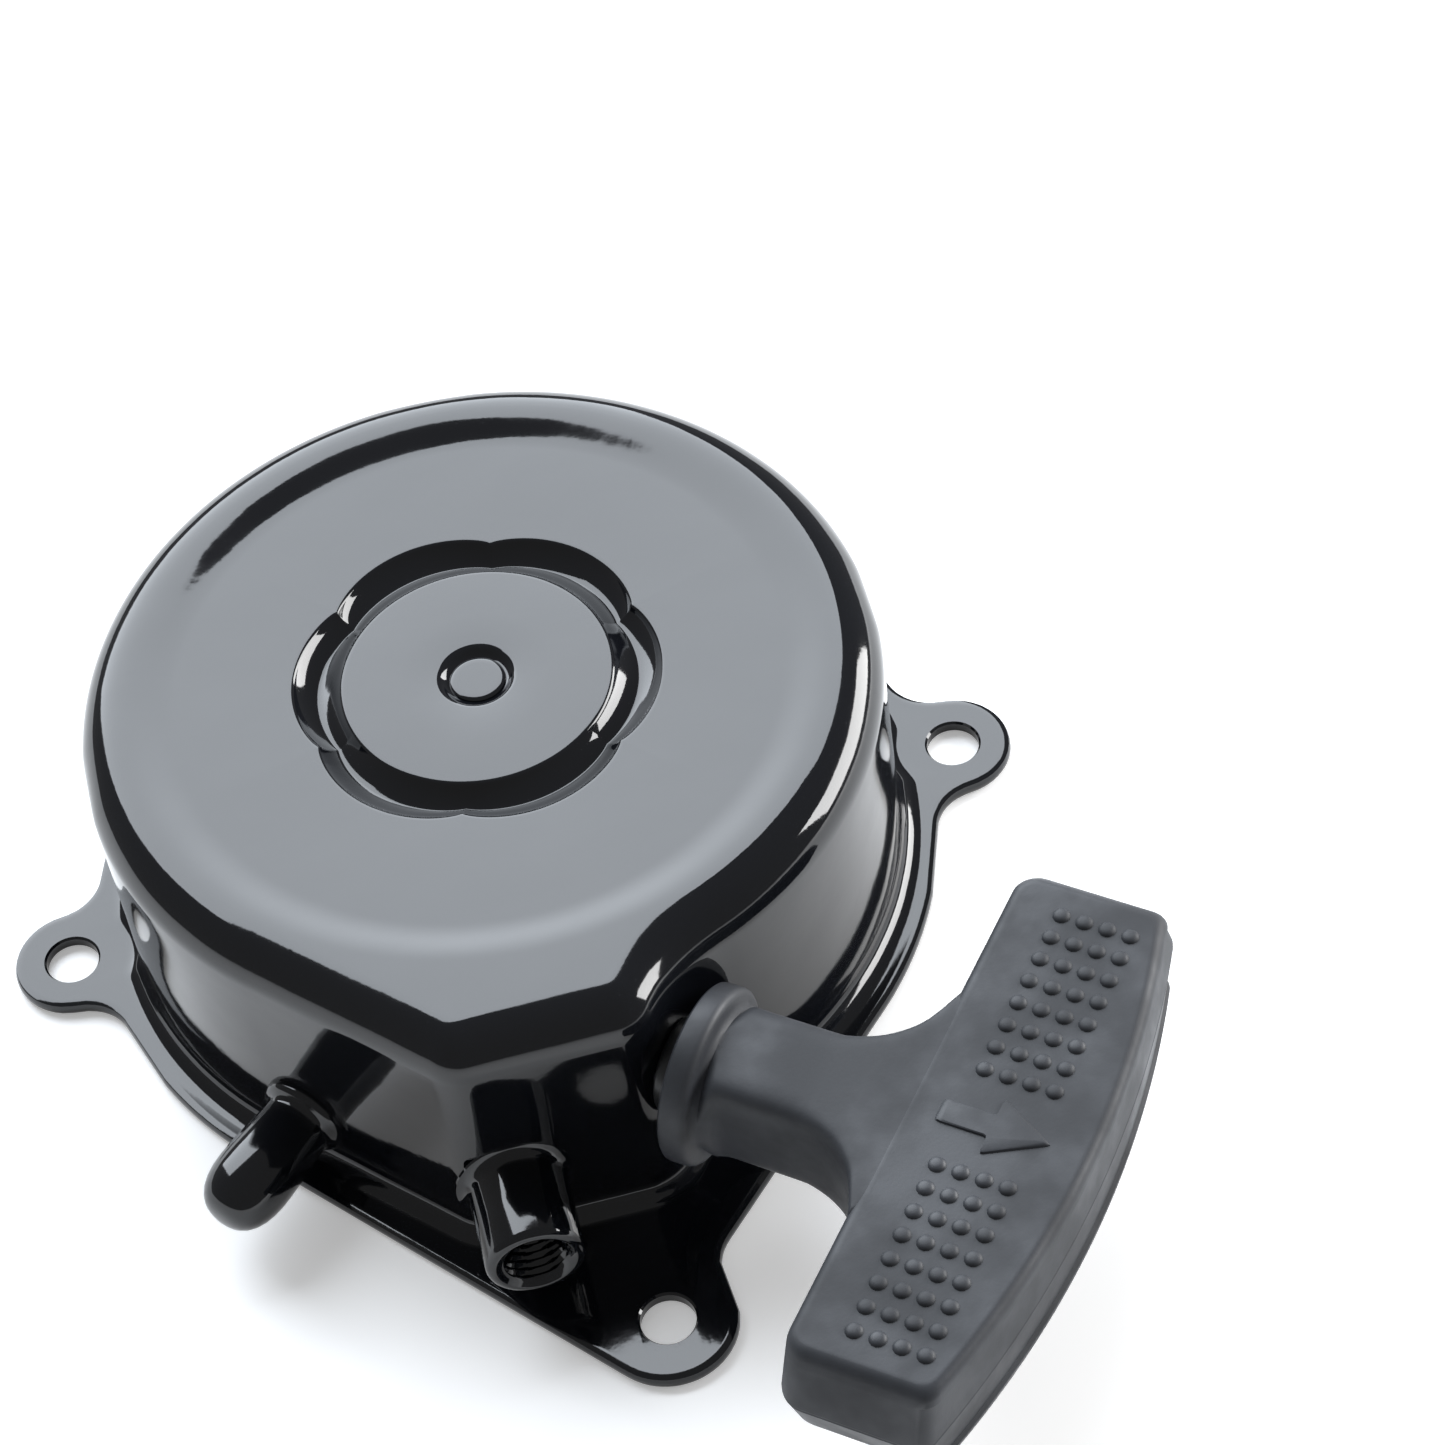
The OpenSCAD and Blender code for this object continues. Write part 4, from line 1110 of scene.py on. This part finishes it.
class STARTER_OT_kept(bpy.types.Operator):
    """Give the inner pieces that keep their mechanical shape their finishes"""
    bl_idname = "starter.kept"
    bl_label = "Inner pieces"
    bl_options = {"REGISTER", "UNDO"}

    def execute(self, context):
        finishes = {
            "spring_arbor": "turned steel", "recoil_spring": "spring steel", "lever_spring": "spring steel",
            "spring_keeper": "spring steel", "reel_bush": "bronze", "pawl_pin": "turned steel",
            "grip_rope": "grey rope",
            "grip_knot": "rope end", "grip_washer": "zinc plate"}
        for name, finish in finishes.items():
            node = NODES[name]
            node.data.materials.clear()
            node.data.materials.append(bpy.data.materials[finish])
        return {"FINISHED"}


class STARTER_OT_stage(bpy.types.Operator):
    """Lay the floor, hang the soft lights and set the camera"""
    bl_idname = "starter.stage"
    bl_label = "Stage"
    bl_options = {"REGISTER", "UNDO"}

    def execute(self, context):
        scene = context.scene
        clear()
        bpy.ops.mesh.primitive_plane_add(size=12, location=(0, 0, 0))
        floor = bpy.context.object
        edit(floor)
        bpy.ops.mesh.subdivide(number_cuts=3)
        bpy.ops.transform.translate(value=(0, 0, -0.0002))
        clear()
        floor.name = "floor"
        floor.data.materials.append(bpy.data.materials["pale floor"])
        self.panel("sky", (-0.35, 1.86, 1.66), (2.4, 2.6), 142, (0.87, 0.93, 1.0))
        self.panel("side", (1.13, 0.12, 0.42), (0.52, 0.9), 22, (1.0, 1.0, 1.0))
        world = bpy.data.worlds.new("studio")
        world.use_nodes = True
        world.node_tree.nodes["Background"].inputs["Color"].default_value = (1, 1, 1, 1)
        world.node_tree.nodes["Background"].inputs["Strength"].default_value = 0.25
        scene.world = world
        scene.view_settings.view_transform = "Standard"
        lens = bpy.data.cameras.new("camera")
        lens.lens, lens.sensor_width, lens.clip_start, lens.clip_end = 110.84, 36, 0.01, 50
        camera = bpy.data.objects.new("camera", lens)
        right = Vector((0.969053, -0.226515, -0.098117))
        up = Vector((0.236952, 0.742116, 0.626991))
        back = Vector((-0.069209, -0.630837, 0.772823))
        camera.matrix_world = (Matrix.Translation((-0.013966, -0.499571, 0.636071))
                               @ Matrix((right, up, back)).transposed().to_4x4())
        scene.collection.objects.link(camera)
        scene.camera = camera
        return {"FINISHED"}

    def panel(self, name, at, size, power, tint):
        light = bpy.data.lights.new(name, "AREA")
        light.shape, light.size, light.size_y = "RECTANGLE", size[0], size[1]
        light.energy, light.color = power, tint
        lamp = bpy.data.objects.new(name, light)
        place = axis_frame(at, Vector(at))
        lamp.matrix_world = place
        bpy.context.scene.collection.objects.link(lamp)


MAKERS = (
    STARTER_OT_finishes, STARTER_OT_stage, STARTER_OT_housing, STARTER_OT_shaft, STARTER_OT_cable_boss,
    STARTER_OT_stud_cap,
    STARTER_OT_plain_metal, STARTER_OT_reel, STARTER_OT_friction_clip, STARTER_OT_rope, STARTER_OT_grip,
    STARTER_OT_kept)


class STARTER_PT_panel(bpy.types.Panel):
    """The starter's pieces, in the order they are made"""
    bl_label = "Recoil starter"
    bl_space_type = "VIEW_3D"
    bl_region_type = "UI"
    bl_category = "Starter"

    def draw(self, context):
        for group in (context.scene.starter_cup, context.scene.starter_grip, context.scene.starter_colours):
            box = self.layout.box()
            for key in group.bl_rna.properties.keys():
                if key not in ("rna_type", "name"):
                    box.prop(group, key)
        for maker in MAKERS:
            self.layout.operator(maker.bl_idname)


CLASSES = (CupSizes, GripSizes, Colours) + MAKERS + (STARTER_PT_panel,)


def register():
    for cls in CLASSES:
        bpy.utils.register_class(cls)
    bpy.types.Scene.starter_cup = PointerProperty(type=CupSizes)
    bpy.types.Scene.starter_grip = PointerProperty(type=GripSizes)
    bpy.types.Scene.starter_colours = PointerProperty(type=Colours)


def unregister():
    del bpy.types.Scene.starter_cup, bpy.types.Scene.starter_grip, bpy.types.Scene.starter_colours
    for cls in reversed(CLASSES):
        bpy.utils.unregister_class(cls)


def main():
    register()
    for maker in MAKERS:
        group, name = maker.bl_idname.split(".")
        getattr(getattr(bpy.ops, group), name)()


if __name__ == "__main__":
    main()
